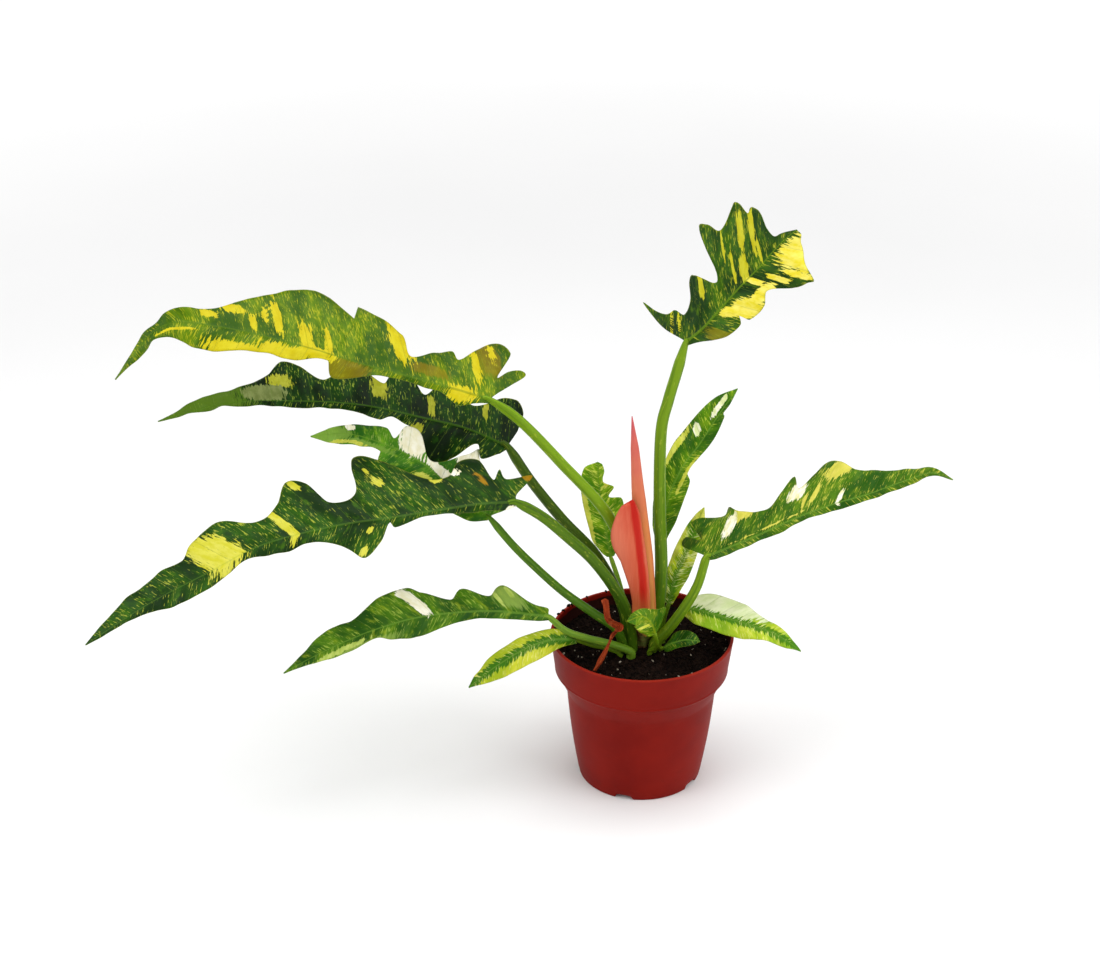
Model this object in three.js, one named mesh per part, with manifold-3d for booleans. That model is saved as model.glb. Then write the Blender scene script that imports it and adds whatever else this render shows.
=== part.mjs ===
// A variegated, lobed philodendron growing in a plastic nursery pot.
// Millimetres, +Z up. The origin is the middle of the pot's flat base; the bench front is -Y.
import * as THREE from 'three';
import { mergeVertices } from 'three/addons/utils/BufferGeometryUtils.js';
import Module from 'manifold-3d';

const wasm = await Module();
wasm.setup();

// ---- driving sizes ----
const rimDiameter = 120; // outside, at the top of the pot
const potHeight = 104;
const baseDiameter = 81; // outside, where the foot ring stands
const wall = 1.3;
const bandHeight = 24; // upright rim band
const bandTaper = 3; // how much the band's radius shrinks down to its step
const stepLip = 1; // the band's step stands out from the shoulder by this much
const stepRound = 1.5; // height of the turn under that step
const shoulderDrop = 16; // sloped shoulder below the band
const shoulderInset = 8; // how far that shoulder comes in
const bodyBelly = 0.9; // how far the side bows out between base and shoulder
const footHeight = 3.5; // raised channel and notches under the pot
const footWidth = 3.5;
const padDiameter = 60; // middle of the base, which stands on the bench
const padSlope = 1; // how far the pad's side leans out up to the floor
const notchWidth = 12;
const notchRoof = 0.2; // a notch stops this far below the raised channel
const notchCount = 5;
const notchTurn = -17; // degrees from the front to the first notch
const drainDiameter = 6;
const drainSetIn = 0.4; // holes sit this much inside the channel's middle

const headspace = 11; // from the rim down to the soil at the wall
const soilHeap = 2; // the soil rises this much towards the crown
const gap = 0.3; // clearance between pieces that touch

const crownRadius = 5;
const crownHeight = 13; // above the soil
const crownDepth = 14; // below it

const bladeThickness = 0.8;
const bladeRoot = 2.4; // half width where a blade meets its stalk
const bladeTip = 0.6; // half width at its tip
const droopAt = 30; // a blade's droop is given at this distance from its midrib
const stalkSides = 8;
const stalkStep = 11; // length of one straight stretch of a stalk

const soilLevel = potHeight - headspace + soilHeap;

const finish = (color, roughness = 0.5) => new THREE.MeshStandardMaterial({ color, roughness, metalness: 0 });
const vector = (p) => new THREE.Vector3(...p);

const model = new THREE.Group();
const plant = new THREE.Group(); // everything that grows, measured from the soil at the crown
plant.position.z = soilLevel;
model.add(plant);

function add(parent, name, geometry, material) {
  geometry.computeVertexNormals();
  const mesh = new THREE.Mesh(geometry, material);
  mesh.name = name;
  parent.add(mesh);
}

// ---- pot ----
function turned(profile, segments) {
  const points = profile.map(([r, z]) => new THREE.Vector2(r, z));
  const geometry = new THREE.LatheGeometry(points, segments);
  geometry.rotateX(Math.PI / 2);
  return geometry;
}

function solid(geometry) {
  const bare = geometry.clone();
  bare.deleteAttribute('normal');
  bare.deleteAttribute('uv');
  const merged = mergeVertices(bare, 1e-4);
  return new wasm.Manifold(new wasm.Mesh({
    numProp: 3,
    vertProperties: new Float32Array(merged.attributes.position.array),
    triVerts: new Uint32Array(merged.index.array),
  }));
}

function geometryOf(manifold) {
  const mesh = manifold.getMesh();
  const geometry = new THREE.BufferGeometry();
  geometry.setAttribute('position', new THREE.BufferAttribute(mesh.vertProperties, 3));
  geometry.setIndex(new THREE.BufferAttribute(mesh.triVerts, 1));
  return geometry;
}

const rimRadius = rimDiameter / 2;
const baseRadius = baseDiameter / 2;
const stepZ = potHeight - bandHeight;
const stepRadius = rimRadius - bandTaper;
const shoulderZ = stepZ - shoulderDrop;
const shoulderRadius = stepRadius - shoulderInset;
const floorZ = footHeight + wall;

// outside radius of the pot's tapered body, which bellies out a little
function bodyRadius(z) {
  const share = z / shoulderZ;
  return THREE.MathUtils.lerp(baseRadius, shoulderRadius, share) + bodyBelly * Math.sin(Math.PI * share);
}

const padRadius = padDiameter / 2;
const potProfile = [
  [0, 0],
  [padRadius, 0],
  [padRadius + padSlope, footHeight],
  [baseRadius - footWidth, footHeight],
  [baseRadius - footWidth, 0],
  [baseRadius, 0],
  [bodyRadius(shoulderZ * 0.35), shoulderZ * 0.35],
  [bodyRadius(shoulderZ * 0.7), shoulderZ * 0.7],
  [shoulderRadius, shoulderZ],
  [stepRadius - stepLip, stepZ - stepRound],
  [stepRadius, stepZ],
  [rimRadius, potHeight],
  [rimRadius - wall, potHeight],
  [stepRadius - wall, stepZ],
  [shoulderRadius - wall, shoulderZ],
  [bodyRadius(shoulderZ * 0.5) - wall, shoulderZ * 0.5],
  [bodyRadius(floorZ) - wall, floorZ],
  [padRadius + padSlope * 2, floorZ],
  [padRadius, wall],
  [0, wall],
];

function cutter(geometry, degrees, radius, z) {
  const angle = THREE.MathUtils.degToRad(degrees - 90);
  geometry.rotateZ(angle);
  geometry.translate(radius * Math.cos(angle), radius * Math.sin(angle), z);
  return solid(geometry);
}

let pot = solid(turned(potProfile, 48));
for (let i = 0; i < notchCount; i += 1) {
  const degrees = notchTurn + (i * 360) / notchCount;
  const notch = new THREE.BoxGeometry(footWidth * 2 + 1, notchWidth, (footHeight - notchRoof) * 2);
  pot = pot.subtract(cutter(notch, degrees, baseRadius - footWidth / 2, 0));
  const drain = new THREE.CylinderGeometry(drainDiameter / 2, drainDiameter / 2, wall * 4, 12);
  drain.rotateX(Math.PI / 2);
  const drainRadius = (padRadius + padSlope * 2 + baseRadius - footWidth) / 2 - drainSetIn;
  pot = pot.subtract(cutter(drain, degrees + 180 / notchCount, drainRadius, floorZ));
}
add(model, 'nursery_pot', geometryOf(pot), finish(0x8a2e1a, 0.55));

// ---- soil, with a pocket for the crown ----
const soilEdgeZ = potHeight - headspace;
const pocketRadius = crownRadius + gap;
const pocketZ = soilLevel - crownDepth - gap;
const bandShare = (soilEdgeZ - stepZ) / bandHeight;
const soilEdgeRadius = THREE.MathUtils.lerp(stepRadius, rimRadius, bandShare) - wall - gap;
const soilProfile = [
  [0, wall + gap],
  [padRadius - gap, wall + gap],
  [padRadius + padSlope * 2 - gap, floorZ + gap],
  [bodyRadius(floorZ) - wall - gap * 2, floorZ + gap],
  [bodyRadius(shoulderZ * 0.5) - wall - gap, shoulderZ * 0.5],
  [shoulderRadius - wall - gap, shoulderZ],
  [stepRadius - wall - gap, stepZ],
  [soilEdgeRadius, soilEdgeZ],
  [soilEdgeRadius * 0.55, soilEdgeZ + soilHeap * 0.8],
  [pocketRadius, soilLevel],
  [pocketRadius, pocketZ],
  [0, pocketZ],
];
add(model, 'potting_soil', turned(soilProfile, 40), finish(0x1d1712, 0.95));

// ---- crown ----
const crownProfile = [
  [0, -crownDepth],
  [crownRadius * 0.7, -crownDepth],
  [crownRadius, -crownDepth * 0.5],
  [crownRadius, crownHeight * 0.5],
  [crownRadius * 0.75, crownHeight * 0.9],
  [0, crownHeight],
];
const crown = turned(crownProfile, 16);
add(plant, 'crown_stem', crown, finish(0x6f7d33, 0.6));

// ---- closed skins ----
// Joins a grid of points above and one below into one closed body.
function closedSheet(top, bottom) {
  const rows = top.length;
  const columns = top[0].length;
  const positions = [...top.flat(), ...bottom.flat()].flatMap((p) => [p.x, p.y, p.z]);
  const upper = (i, j) => i * columns + j;
  const lower = (i, j) => rows * columns + i * columns + j;
  const faces = [];
  const quad = (a, b, c, d) => faces.push(a, c, b, a, d, c);
  for (let i = 0; i + 1 < rows; i += 1) {
    for (let j = 0; j + 1 < columns; j += 1) {
      quad(upper(i, j), upper(i, j + 1), upper(i + 1, j + 1), upper(i + 1, j));
      quad(lower(i, j), lower(i + 1, j), lower(i + 1, j + 1), lower(i, j + 1));
    }
    quad(upper(i, 0), upper(i + 1, 0), lower(i + 1, 0), lower(i, 0));
    const last = columns - 1;
    quad(upper(i, last), lower(i, last), lower(i + 1, last), upper(i + 1, last));
  }
  for (let j = 0; j + 1 < columns; j += 1) {
    quad(upper(0, j), lower(0, j), lower(0, j + 1), upper(0, j + 1));
    const end = rows - 1;
    quad(upper(end, j), upper(end, j + 1), lower(end, j + 1), lower(end, j));
  }
  const geometry = new THREE.BufferGeometry();
  geometry.setAttribute('position', new THREE.Float32BufferAttribute(positions, 3));
  geometry.setIndex(faces);
  return geometry;
}

// A round or flattened tube along a curve. radii are [share of the length, radius] pairs.
function tube(route, radii, { sides = stalkSides, flat = 1, wide = [1, 0, 0], step = stalkStep } = {}) {
  const curve = new THREE.CatmullRomCurve3(route.map(vector), false, 'catmullrom');
  const steps = Math.max(3, Math.round(curve.getLength() / step));
  const positions = [];
  for (let i = 0; i <= steps; i += 1) {
    const share = i / steps;
    const centre = curve.getPointAt(share);
    const along = curve.getTangentAt(share);
    const across = vector(wide).addScaledVector(along, -along.dot(vector(wide))).normalize();
    const up = new THREE.Vector3().crossVectors(along, across);
    const radius = between(radii, share);
    for (let k = 0; k < sides; k += 1) {
      const angle = (2 * Math.PI * k) / sides;
      const point = centre.clone().addScaledVector(across, radius * Math.cos(angle));
      point.addScaledVector(up, radius * flat * Math.sin(angle));
      positions.push(point.x, point.y, point.z);
    }
  }
  const ends = [curve.getPointAt(0), curve.getPointAt(1)];
  for (const end of ends) positions.push(end.x, end.y, end.z);
  const first = (steps + 1) * sides;
  const faces = [];
  for (let k = 0; k < sides; k += 1) {
    const next = (k + 1) % sides;
    for (let i = 0; i < steps; i += 1) {
      const a = i * sides + k;
      const b = i * sides + next;
      faces.push(a, b, b + sides, a, b + sides, a + sides);
    }
    faces.push(first, next, k, first + 1, steps * sides + k, steps * sides + next);
  }
  const geometry = new THREE.BufferGeometry();
  geometry.setAttribute('position', new THREE.Float32BufferAttribute(positions, 3));
  geometry.setIndex(faces);
  return geometry;
}

// value of [share, value] pairs at one share, in straight steps
function between(pairs, share, column = 1) {
  let i = 0;
  while (i + 2 < pairs.length && pairs[i + 1][0] < share) i += 1;
  const [low, high] = [pairs[i], pairs[i + 1]];
  const t = THREE.MathUtils.clamp((share - low[0]) / (high[0] - low[0]), 0, 1);
  return THREE.MathUtils.lerp(low[column], high[column], t);
}

// A leaf blade hangs on its midrib. Each margin row is [share of the midrib where its vein
// leaves, how far out the margin lies, how far ahead of that place it lies].
function blade({ rib, side, droop, left, right, thickness = bladeThickness }) {
  const curve = new THREE.CatmullRomCurve3(rib.map(vector), false, 'catmullrom');
  const baseRow = [0, bladeRoot, 0];
  const tipRow = [1, bladeTip, 0];
  const margins = [[baseRow, ...left, tipRow], [baseRow, ...right, tipRow]];
  const shares = margins.flat().map((row) => row[0]).sort((a, b) => a - b);
  const stations = shares.filter((s, i) => i === 0 || s - shares[i - 1] > 1e-6);
  const columns = [-1, -0.5, 0, 0.5, 1];
  const top = [];
  const bottom = [];
  for (const share of stations) {
    const along = curve.getTangentAt(share);
    const out = vector(side).addScaledVector(along, -along.dot(vector(side))).normalize();
    const up = new THREE.Vector3().crossVectors(along, out);
    const points = columns.map((v) => {
      const margin = margins[v > 0 ? 0 : 1];
      const reach = Math.abs(v) * between(margin, share, 1);
      const ahead = Math.abs(v) * between(margin, share, 2);
      const point = curve.getPointAt(share);
      point.addScaledVector(out, Math.sign(v) * reach).addScaledVector(along, ahead);
      return point.addScaledVector(up, -droop * (reach / droopAt) ** 2);
    });
    top.push(points.map((p) => p.clone().addScaledVector(up, thickness / 2)));
    bottom.push(points.map((p) => p.clone().addScaledVector(up, -thickness / 2)));
  }
  return closedSheet(top, bottom);
}

// ---- leaves ----
// side points to the blade's left margin, seen along the midrib from the stalk to the tip.
const leaves = {
  upper_left: {
    color: 0x6f9416,
    rib: [[-97, -8, 181], [-131, -10, 193], [-172, -14, 207], [-215, -18, 223],
      [-262, -23, 237], [-294, -27, 238], [-323, -32, 206]],
    side: [0, -0.78, -0.62],
    droop: 4,
    left: [[0.03, 5, 0], [0.08, 9, -1], [0.13, 4, 0], [0.26, 4, 2], [0.36, 13, 8], [0.4, 4, 3],
      [0.53, 11, -4], [0.6, 11, -6], [0.69, 16, 0], [0.77, 14, -4], [0.87, 7, -5]],
    right: [[0.01, 26, -17], [0.035, 20, -13], [0.065, 41, -18], [0.09, 44, -14], [0.125, 23, -9],
      [0.155, 28, -10], [0.22, 15, -3], [0.27, 30, -8], [0.385, 44, -6], [0.405, 31, -11],
      [0.47, 41, -7], [0.52, 43, -9], [0.6, 34, -10], [0.7, 20, -12], [0.78, 9, -11], [0.9, 4, -8]],
    base: [90, 5, 5],
    stalk: [[-3, 9, 38], [-22, 2, 93], [-54, -3, 136], [-79, -6, 166], [-97, -8, 181]],
    girth: [4.2, 3.4],
  },
  dark: {
    color: 0x24470f,
    rib: [[-87, 22, 134], [-113, 27, 144], [-140, 32, 149], [-180, 37, 156],
      [-221, 43, 156], [-266, 49, 152], [-315, 55, 136]],
    side: [0, -0.81, -0.58],
    droop: 4,
    left: [[0.02, 7, -2], [0.06, 16, -2], [0.1, 8, -5], [0.16, 21, -7], [0.21, 28, -5], [0.28, 11, -6],
      [0.325, 5, -1], [0.365, 9, -2], [0.42, 5, -3], [0.6, 4, -3], [0.8, 3, -1]],
    right: [[0.01, 14, -4], [0.03, 30, -7], [0.055, 37, -4], [0.12, 20, 1], [0.16, 27, 6], [0.21, 26, 5],
      [0.25, 18, 2], [0.3, 27, 0], [0.35, 28, 2], [0.38, 20, -2], [0.43, 27, -1], [0.48, 26, 0],
      [0.54, 18, -1], [0.61, 27, -1], [0.665, 31, -2], [0.7, 21, -4], [0.77, 12, -5], [0.87, 10, -5]],
    base: [151, 5.3, 8],
    stalk: [[-14, 6, 30], [-30, 8, 62], [-52, 13, 86], [-72, 18, 111], [-87, 22, 134]],
    girth: [4.2, 3.6],
  },
  lower_left: {
    color: 0x2c5a14,
    rib: [[-81, -30, 121], [-103, -38, 124], [-128, -46, 124], [-157, -54, 123], [-191, -63, 122],
      [-234, -76, 116], [-267, -86, 102], [-302, -95, 86], [-341, -105, 63]],
    side: [0, -0.75, -0.66],
    droop: 5,
    left: [[0.03, 5, 1], [0.1, 4, 3], [0.205, 3, 4], [0.26, 6, 5], [0.285, 3, 1], [0.32, 14, -2],
      [0.36, 23, -1], [0.405, 13, -1], [0.465, 7, 2], [0.51, 9, 3], [0.61, 5, 3], [0.72, 10, -2],
      [0.79, 10, -3], [0.9, 4, -4]],
    right: [[0.015, 6, -6], [0.028, 18, -22], [0.045, 16, -9], [0.055, 23, -9], [0.067, 16, -7],
      [0.09, 31, -8], [0.12, 31, -4], [0.15, 21, -3], [0.185, 23, 1], [0.245, 43, 12], [0.275, 48, 15],
      [0.3, 38, 13], [0.33, 19, 6], [0.36, 16, 14], [0.39, 33, 16], [0.42, 37, 18], [0.45, 24, 17],
      [0.49, 17, 15], [0.53, 17, 14], [0.6, 28, 11],
      [0.66, 24, 10], [0.7, 16, 10], [0.79, 14, 4], [0.9, 10, 3]],
    base: [217, 5, 14],
    stalk: [[-12, -9, 34], [-20, -11, 51], [-33, -15, 72], [-49, -20, 91], [-65, -26, 109],
      [-81, -30, 121]],
    girth: [4.2, 3.6],
  },
  cream_half: {
    color: 0x9db83a,
    rib: [[-98, -22, 106], [-108, -19, 113], [-123, -15, 124], [-137, -9, 135], [-151, -6, 143],
      [-164, -3, 148], [-186, -1, 154], [-210, -2, 153]],
    side: [0, -0.8, -0.6],
    droop: 3,
    left: [[0.05, 11, 3], [0.1, 14, 7], [0.22, 13, 10], [0.42, 18, 20], [0.465, 15, 20], [0.5, 8, 17],
      [0.6, 7, 15], [0.75, 9, 10], [0.88, 4, 6]],
    right: [[0.03, 12, -9], [0.055, 19, -13], [0.09, 21, -10], [0.2, 31, 0], [0.235, 39, 2], [0.29, 28, 2],
      [0.35, 9, 2], [0.4, 6, 3], [0.475, 19, 5], [0.52, 18, 8], [0.585, 6, 2], [0.635, 11, 2], [0.9, 4, 1]],
    base: [215, 10.8, 7],
    stalk: [[-18, -12, 20], [-32, -12, 31], [-52, -15, 49], [-70, -18, 69], [-84, -20, 86],
      [-98, -22, 106]],
    girth: [3.2, 2.6],
  },
  low_left: {
    color: 0x3f7421,
    rib: [[-61, -20, 33], [-99, -32, 44], [-138, -45, 48], [-163, -54, 46], [-185, -62, 41],
      [-208, -70, 33], [-226, -76, 25]],
    side: [-0.05, -0.75, -0.67],
    droop: 3,
    left: [[0.05, 4, -1], [0.15, 5, 4], [0.29, 6, 7], [0.46, 12, 9], [0.52, 11, 10], [0.6, 6, 8],
      [0.71, 7, 6], [0.8, 6, 3], [0.9, 3, 2]],
    right: [[0.03, 6, -5], [0.08, 9, 0], [0.13, 18, 8], [0.2, 10, 5], [0.29, 16, 5], [0.36, 9, 1],
      [0.45, 16, 3], [0.5, 21, 1], [0.58, 19, 3], [0.68, 12, 4], [0.76, 12, 0], [0.85, 10, -2], [0.93, 5, -2]],
    base: [242, 12, 4],
    stalk: [[-20, -18, 11], [-37, -18, 16], [-50, -19, 22], [-61, -20, 33]],
    girth: [2.8, 2.2],
  },
  yellow_low: {
    color: 0x8ba52c,
    rib: [[-43, -17, 14], [-60, -26, 19], [-78, -34, 16], [-97, -42, 7], [-112, -48, -3]],
    side: [0, -0.75, -0.66],
    droop: 3,
    left: [[0.1, 4, 0], [0.25, 8, 1], [0.42, 10, 3], [0.6, 9, 6], [0.8, 5, 6]],
    right: [[0.1, 4, -1], [0.25, 7, -3], [0.42, 8, -4], [0.6, 8, -3], [0.78, 7, -2], [0.9, 4, 0]],
    base: [223, 15.5, 2.5],
    stalk: [[-24, -12, 5], [-32, -14, 8], [-43, -17, 14]],
    girth: [1.8, 1.5],
  },
  back_left: {
    color: 0x6e9a2c,
    rib: [[-20, 40, 44], [-23, 44, 62], [-27, 49, 82], [-29, 54, 107]],
    side: [-1, 0.1, 0],
    droop: 2,
    left: [[0.06, 5, -1], [0.18, 10, 0], [0.38, 11, 1], [0.58, 12, 3], [0.72, 12, 4], [0.88, 9, 4]],
    right: [[0.06, 4, -2], [0.2, 11, -1], [0.36, 14, 5], [0.46, 14, 8], [0.53, 6, 6], [0.6, 10, 8],
      [0.68, 3, 7], [0.8, 4, 6], [0.93, 3, 3]],
    base: [118, 9.8, 3],
    stalk: [[-11, 18, 20], [-15, 28, 33], [-20, 40, 44]],
    girth: [2.2, 1.7],
  },
  top: {
    color: 0x5f8f1f,
    rib: [[24, 10, 212], [34, 8, 222], [44, 5, 236], [55, 1, 252], [67, -3, 268], [78, -7, 284], [87, -10, 294]],
    side: [-0.7, 0.5, 0.3],
    droop: 4,
    left: [[0.015, 16, -9], [0.028, 38, -15], [0.045, 29, -12], [0.065, 22, -8], [0.085, 21, -4],
      [0.115, 15, -3], [0.15, 19, 3], [0.2, 28, 6], [0.23, 28, 8], [0.34, 13, 7], [0.38, 21, 9],
      [0.455, 46, 6], [0.49, 44, 8], [0.54, 34, 9], [0.6, 40, 16], [0.625, 41, 17], [0.64, 37, 18],
      [0.655, 29, 18], [0.68, 30, 19], [0.71, 28, 18],
      [0.75, 22, 15], [0.8, 13, 7], [0.86, 6, 1], [0.92, 4, 0]],
    right: [[0.03, 5, 4], [0.08, 10, 8], [0.15, 15, 10], [0.22, 16, 12], [0.28, 11, 10], [0.34, 18, 6],
      [0.44, 19, 10], [0.49, 14, 13], [0.6, 24, 16], [0.67, 28, 17], [0.73, 30, 14], [0.8, 19, 10],
      [0.88, 9, 8], [0.95, 4, 6]],
    base: [37, 5, 6],
    stalk: [[11, 6, 30], [12, 7, 55], [10, 9, 102], [10, 10, 150], [14, 10, 172], [19, 10, 192],
      [24, 10, 212]],
    girth: [4.4, 3.6],
  },
  back_right: {
    color: 0x3f7a22,
    rib: [[12, 34, 56], [17, 38, 87], [26, 42, 109], [37, 46, 124], [49, 50, 143], [61, 54, 160]],
    side: [-0.9, 0.3, 0.3],
    droop: 2,
    left: [[0.12, 7, -2], [0.3, 10, -1], [0.45, 12, 1], [0.6, 14, -2], [0.75, 12, 1], [0.88, 8, 2]],
    right: [[0.06, 4, -2], [0.18, 8, -3], [0.32, 10, -1], [0.39, 9, 4], [0.43, 5, 3], [0.55, 5, 2],
      [0.66, 6, 5], [0.76, 4, 8], [0.82, 2, 3], [0.9, 2, 1]],
    base: [69, 8.9, 3],
    stalk: [[9, 19, 22], [12, 27, 40], [12, 34, 56]],
    girth: [2.4, 1.9],
  },
  bright_small: {
    color: 0xa8c63a,
    rib: [[18, 16, 22], [22, 19, 40], [29, 22, 57], [34, 25, 72], [40, 28, 87]],
    side: [-0.9, 0.3, 0.3],
    droop: 2,
    left: [[0.1, 6, 1], [0.3, 7, 1], [0.5, 8, 2], [0.7, 6, 4], [0.88, 3, 3]],
    right: [[0.1, 5, 1], [0.3, 8, 1], [0.5, 7, 3], [0.7, 6, 3], [0.88, 3, 2]],
    base: [45, 13.4, 2.5],
    stalk: [[15, 14, 12], [18, 16, 22]],
    girth: [1.7, 1.5],
  },
  right_long: {
    color: 0x5b8526,
    rib: [[40, -8, 70], [70, -14, 88], [94, -18, 103], [116, -22, 115], [139, -26, 125],
      [162, -30, 137], [175, -33, 143], [188, -36, 140]],
    side: [0, 0.76, 0.64],
    droop: 4,
    left: [[0.008, 14, -16], [0.02, 20, -15], [0.03, 14, -7], [0.045, 29, -14], [0.1, 28, -11],
      [0.155, 24, -8], [0.18, 29, -9], [0.225, 22, -9], [0.29, 15, -1], [0.34, 22, 3], [0.38, 29, 6],
      [0.41, 19, 2], [0.46, 26, 4], [0.51, 32, 4], [0.56, 30, 3], [0.62, 20, 3], [0.7, 15, 2],
      [0.8, 8, 4], [0.9, 4, 2]],
    right: [[0.05, 4, -2], [0.2, 4, -3], [0.5, 4, 1], [0.85, 3, 0]],
    base: [-29, 5.3, 5],
    stalk: [[16, -7, 15], [27, -8, 33], [35, -8, 50], [40, -8, 70]],
    girth: [4, 3.2],
  },
  right_low: {
    color: 0xb9c97a,
    rib: [[26, 4, 26], [37, -2, 27], [54, -10, 26], [72, -21, 26], [87, -30, 24], [100, -38, 18]],
    side: [0, 0.8, 0.6],
    droop: 3,
    left: [[0.05, 7, -1], [0.15, 11, -2], [0.3, 14, -2], [0.45, 13, 0], [0.6, 9, -1], [0.75, 6, 0], [0.9, 3, 1]],
    right: [[0.05, 6, 0], [0.13, 10, 2], [0.35, 11, 3], [0.5, 10, 3], [0.7, 7, 3], [0.88, 4, 2]],
    base: [12, 9.3, 3],
    stalk: [[19, 4, 14], [26, 4, 26]],
    girth: [1.9, 1.6],
  },
  front_small: {
    color: 0x4a8426,
    rib: [[7, -26, 24], [4, -28, 33], [-2, -31, 40], [-11, -36, 39]],
    side: [-0.45, -0.45, -0.65],
    droop: 2,
    left: [[0.12, 6, -1], [0.35, 10, 3], [0.6, 8, 4], [0.82, 3, 3]],
    right: [[0.06, 9, 1], [0.16, 15, 3], [0.35, 13, 0], [0.6, 6, -2], [0.82, 3, -1]],
    base: [-67, 8, 3],
    stalk: [[9, -18, 9], [7, -26, 24]],
    girth: [1.8, 1.5],
  },
  low_dark: {
    color: 0x254d14,
    rib: [[14, -19, 9], [20, -23, 15], [27, -26, 19], [36, -29, 20]],
    side: [0.1, 0.8, 0.6],
    droop: 2,
    left: [[0.1, 4, 0], [0.3, 7, 1], [0.6, 7, 2], [0.85, 4, 1]],
    right: [[0.1, 4, 0], [0.3, 6, 1], [0.6, 5, 2], [0.85, 3, 1]],
    base: [-51, 7.8, 2.5],
    stalk: [[11, -15, 6], [14, -19, 9]],
    girth: [1.6, 1.4],
  },
};

// A stalk starts beside the crown and ends a gap short of its blade, on the line it arrives along.
// base is [direction round the crown in degrees, distance out from the crown's side, height].
function stalkRoute({ base, stalk }) {
  const angle = THREE.MathUtils.degToRad(base[0]);
  const reach = crownRadius + base[1];
  const start = [reach * Math.cos(angle), reach * Math.sin(angle), base[2]];
  const end = vector(stalk[stalk.length - 1]);
  const before = vector(stalk[stalk.length - 2]);
  const back = before.sub(end).normalize();
  end.addScaledVector(back, gap + bladeThickness * 2);
  return [start, ...stalk.slice(0, -1), end.toArray()];
}

for (const [place, leaf] of Object.entries(leaves)) {
  add(plant, `leaf_${place}`, blade(leaf), finish(leaf.color, 0.4));
  const [base, top] = leaf.girth;
  const radii = [[0, base], [0.15, base], [0.9, top], [1, top * 0.7]];
  add(plant, `stalk_${place}`, tube(stalkRoute(leaf), radii), finish(0x5f8d22, 0.45));
}

// ---- new growth: a rolled leaf and the open sheath in front of it ----
const rollRoute = [[5, -3, crownHeight + 3], [1, -2, 65], [-4, -2, 108], [-7, -2, 144], [-9, -2, 167]];
const rollRadii = [[0, 4.5], [0.3, 5.5], [0.6, 5], [0.85, 3], [1, 0.8]];
add(plant, 'new_leaf_roll', tube(rollRoute, rollRadii, { flat: 0.7, step: 14 }), finish(0xd4875c, 0.5));

const sheath = {
  rib: [[2, -12, 20], [-1, -12, 64], [-7, -11, 112]],
  side: [-1, -0.2, 0],
  droop: -3,
  thickness: 1,
  left: [[0.14, 8, 0], [0.3, 8, 0], [0.58, 13, 0], [0.7, 17, 0], [0.8, 17, 0], [0.9, 13, 0], [0.97, 8, 0]],
  right: [[0.2, 4, 0], [0.6, 4, 0], [0.9, 3, 0]],
};
add(plant, 'new_leaf_sheath', blade(sheath), finish(0xc9624a, 0.5));

// ---- the dried sheath of an older leaf, hanging over the soil ----
const driedRoute = [[-25, -27, 50], [-23, -26, 36], [-16, -24, 28], [-21, -27, 20], [-25, -33, 11], [-31, -38, 4]];
const driedRadii = [[0, 1], [0.15, 2.6], [0.8, 2.6], [1, 1.2]];
const driedShape = { flat: 0.3, wide: [0.6, -0.2, 0.8], step: 7 };
add(plant, 'dried_sheath', tube(driedRoute, driedRadii, driedShape), finish(0x5c2415, 0.8));

export default model;
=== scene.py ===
# A variegated philodendron in a brick-red nursery pot.
import math

import bpy
import numpy as np
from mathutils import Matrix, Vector, noise


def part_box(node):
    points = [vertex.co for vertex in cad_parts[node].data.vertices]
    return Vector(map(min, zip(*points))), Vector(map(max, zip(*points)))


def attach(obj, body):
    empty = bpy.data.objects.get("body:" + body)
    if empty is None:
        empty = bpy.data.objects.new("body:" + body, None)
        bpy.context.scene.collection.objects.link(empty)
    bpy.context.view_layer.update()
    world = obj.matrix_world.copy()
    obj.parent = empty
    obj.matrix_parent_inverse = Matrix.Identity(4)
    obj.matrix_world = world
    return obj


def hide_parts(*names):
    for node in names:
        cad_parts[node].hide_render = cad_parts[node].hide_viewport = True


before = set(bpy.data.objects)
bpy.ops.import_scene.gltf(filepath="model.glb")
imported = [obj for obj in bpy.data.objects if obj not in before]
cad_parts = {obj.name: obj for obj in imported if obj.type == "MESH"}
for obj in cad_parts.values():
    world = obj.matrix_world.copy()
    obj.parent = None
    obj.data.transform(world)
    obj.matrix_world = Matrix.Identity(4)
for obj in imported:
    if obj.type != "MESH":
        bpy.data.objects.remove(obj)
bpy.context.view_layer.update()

mm = 0.001
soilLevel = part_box("potting_soil")[1][2]  # top of the soil, where the crown stands
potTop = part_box("nursery_pot")[1][2]
crownRadius = 5  # mm, the stalks leave the soil round it
uvSize = 100  # mm of blade in one unit of UV
underShift = 1.5  # how far off the underside's UV lies


# 0-255 screen colour to the linear colour that shaders use
def srgb(*screen):
    shares = [c / 255 for c in screen]
    linear = [c / 12.92 if c <= 0.04045 else ((c + 0.055) / 1.055) ** 2.4 for c in shares]
    return (*linear, 1.0)


# a piece's own values over the defaults, with screen colours made linear
def mergedLook(defaults, own):
    merged = {**defaults, **own}
    return {key: srgb(*value) if isinstance(value, tuple) else value for key, value in merged.items()}


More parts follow.
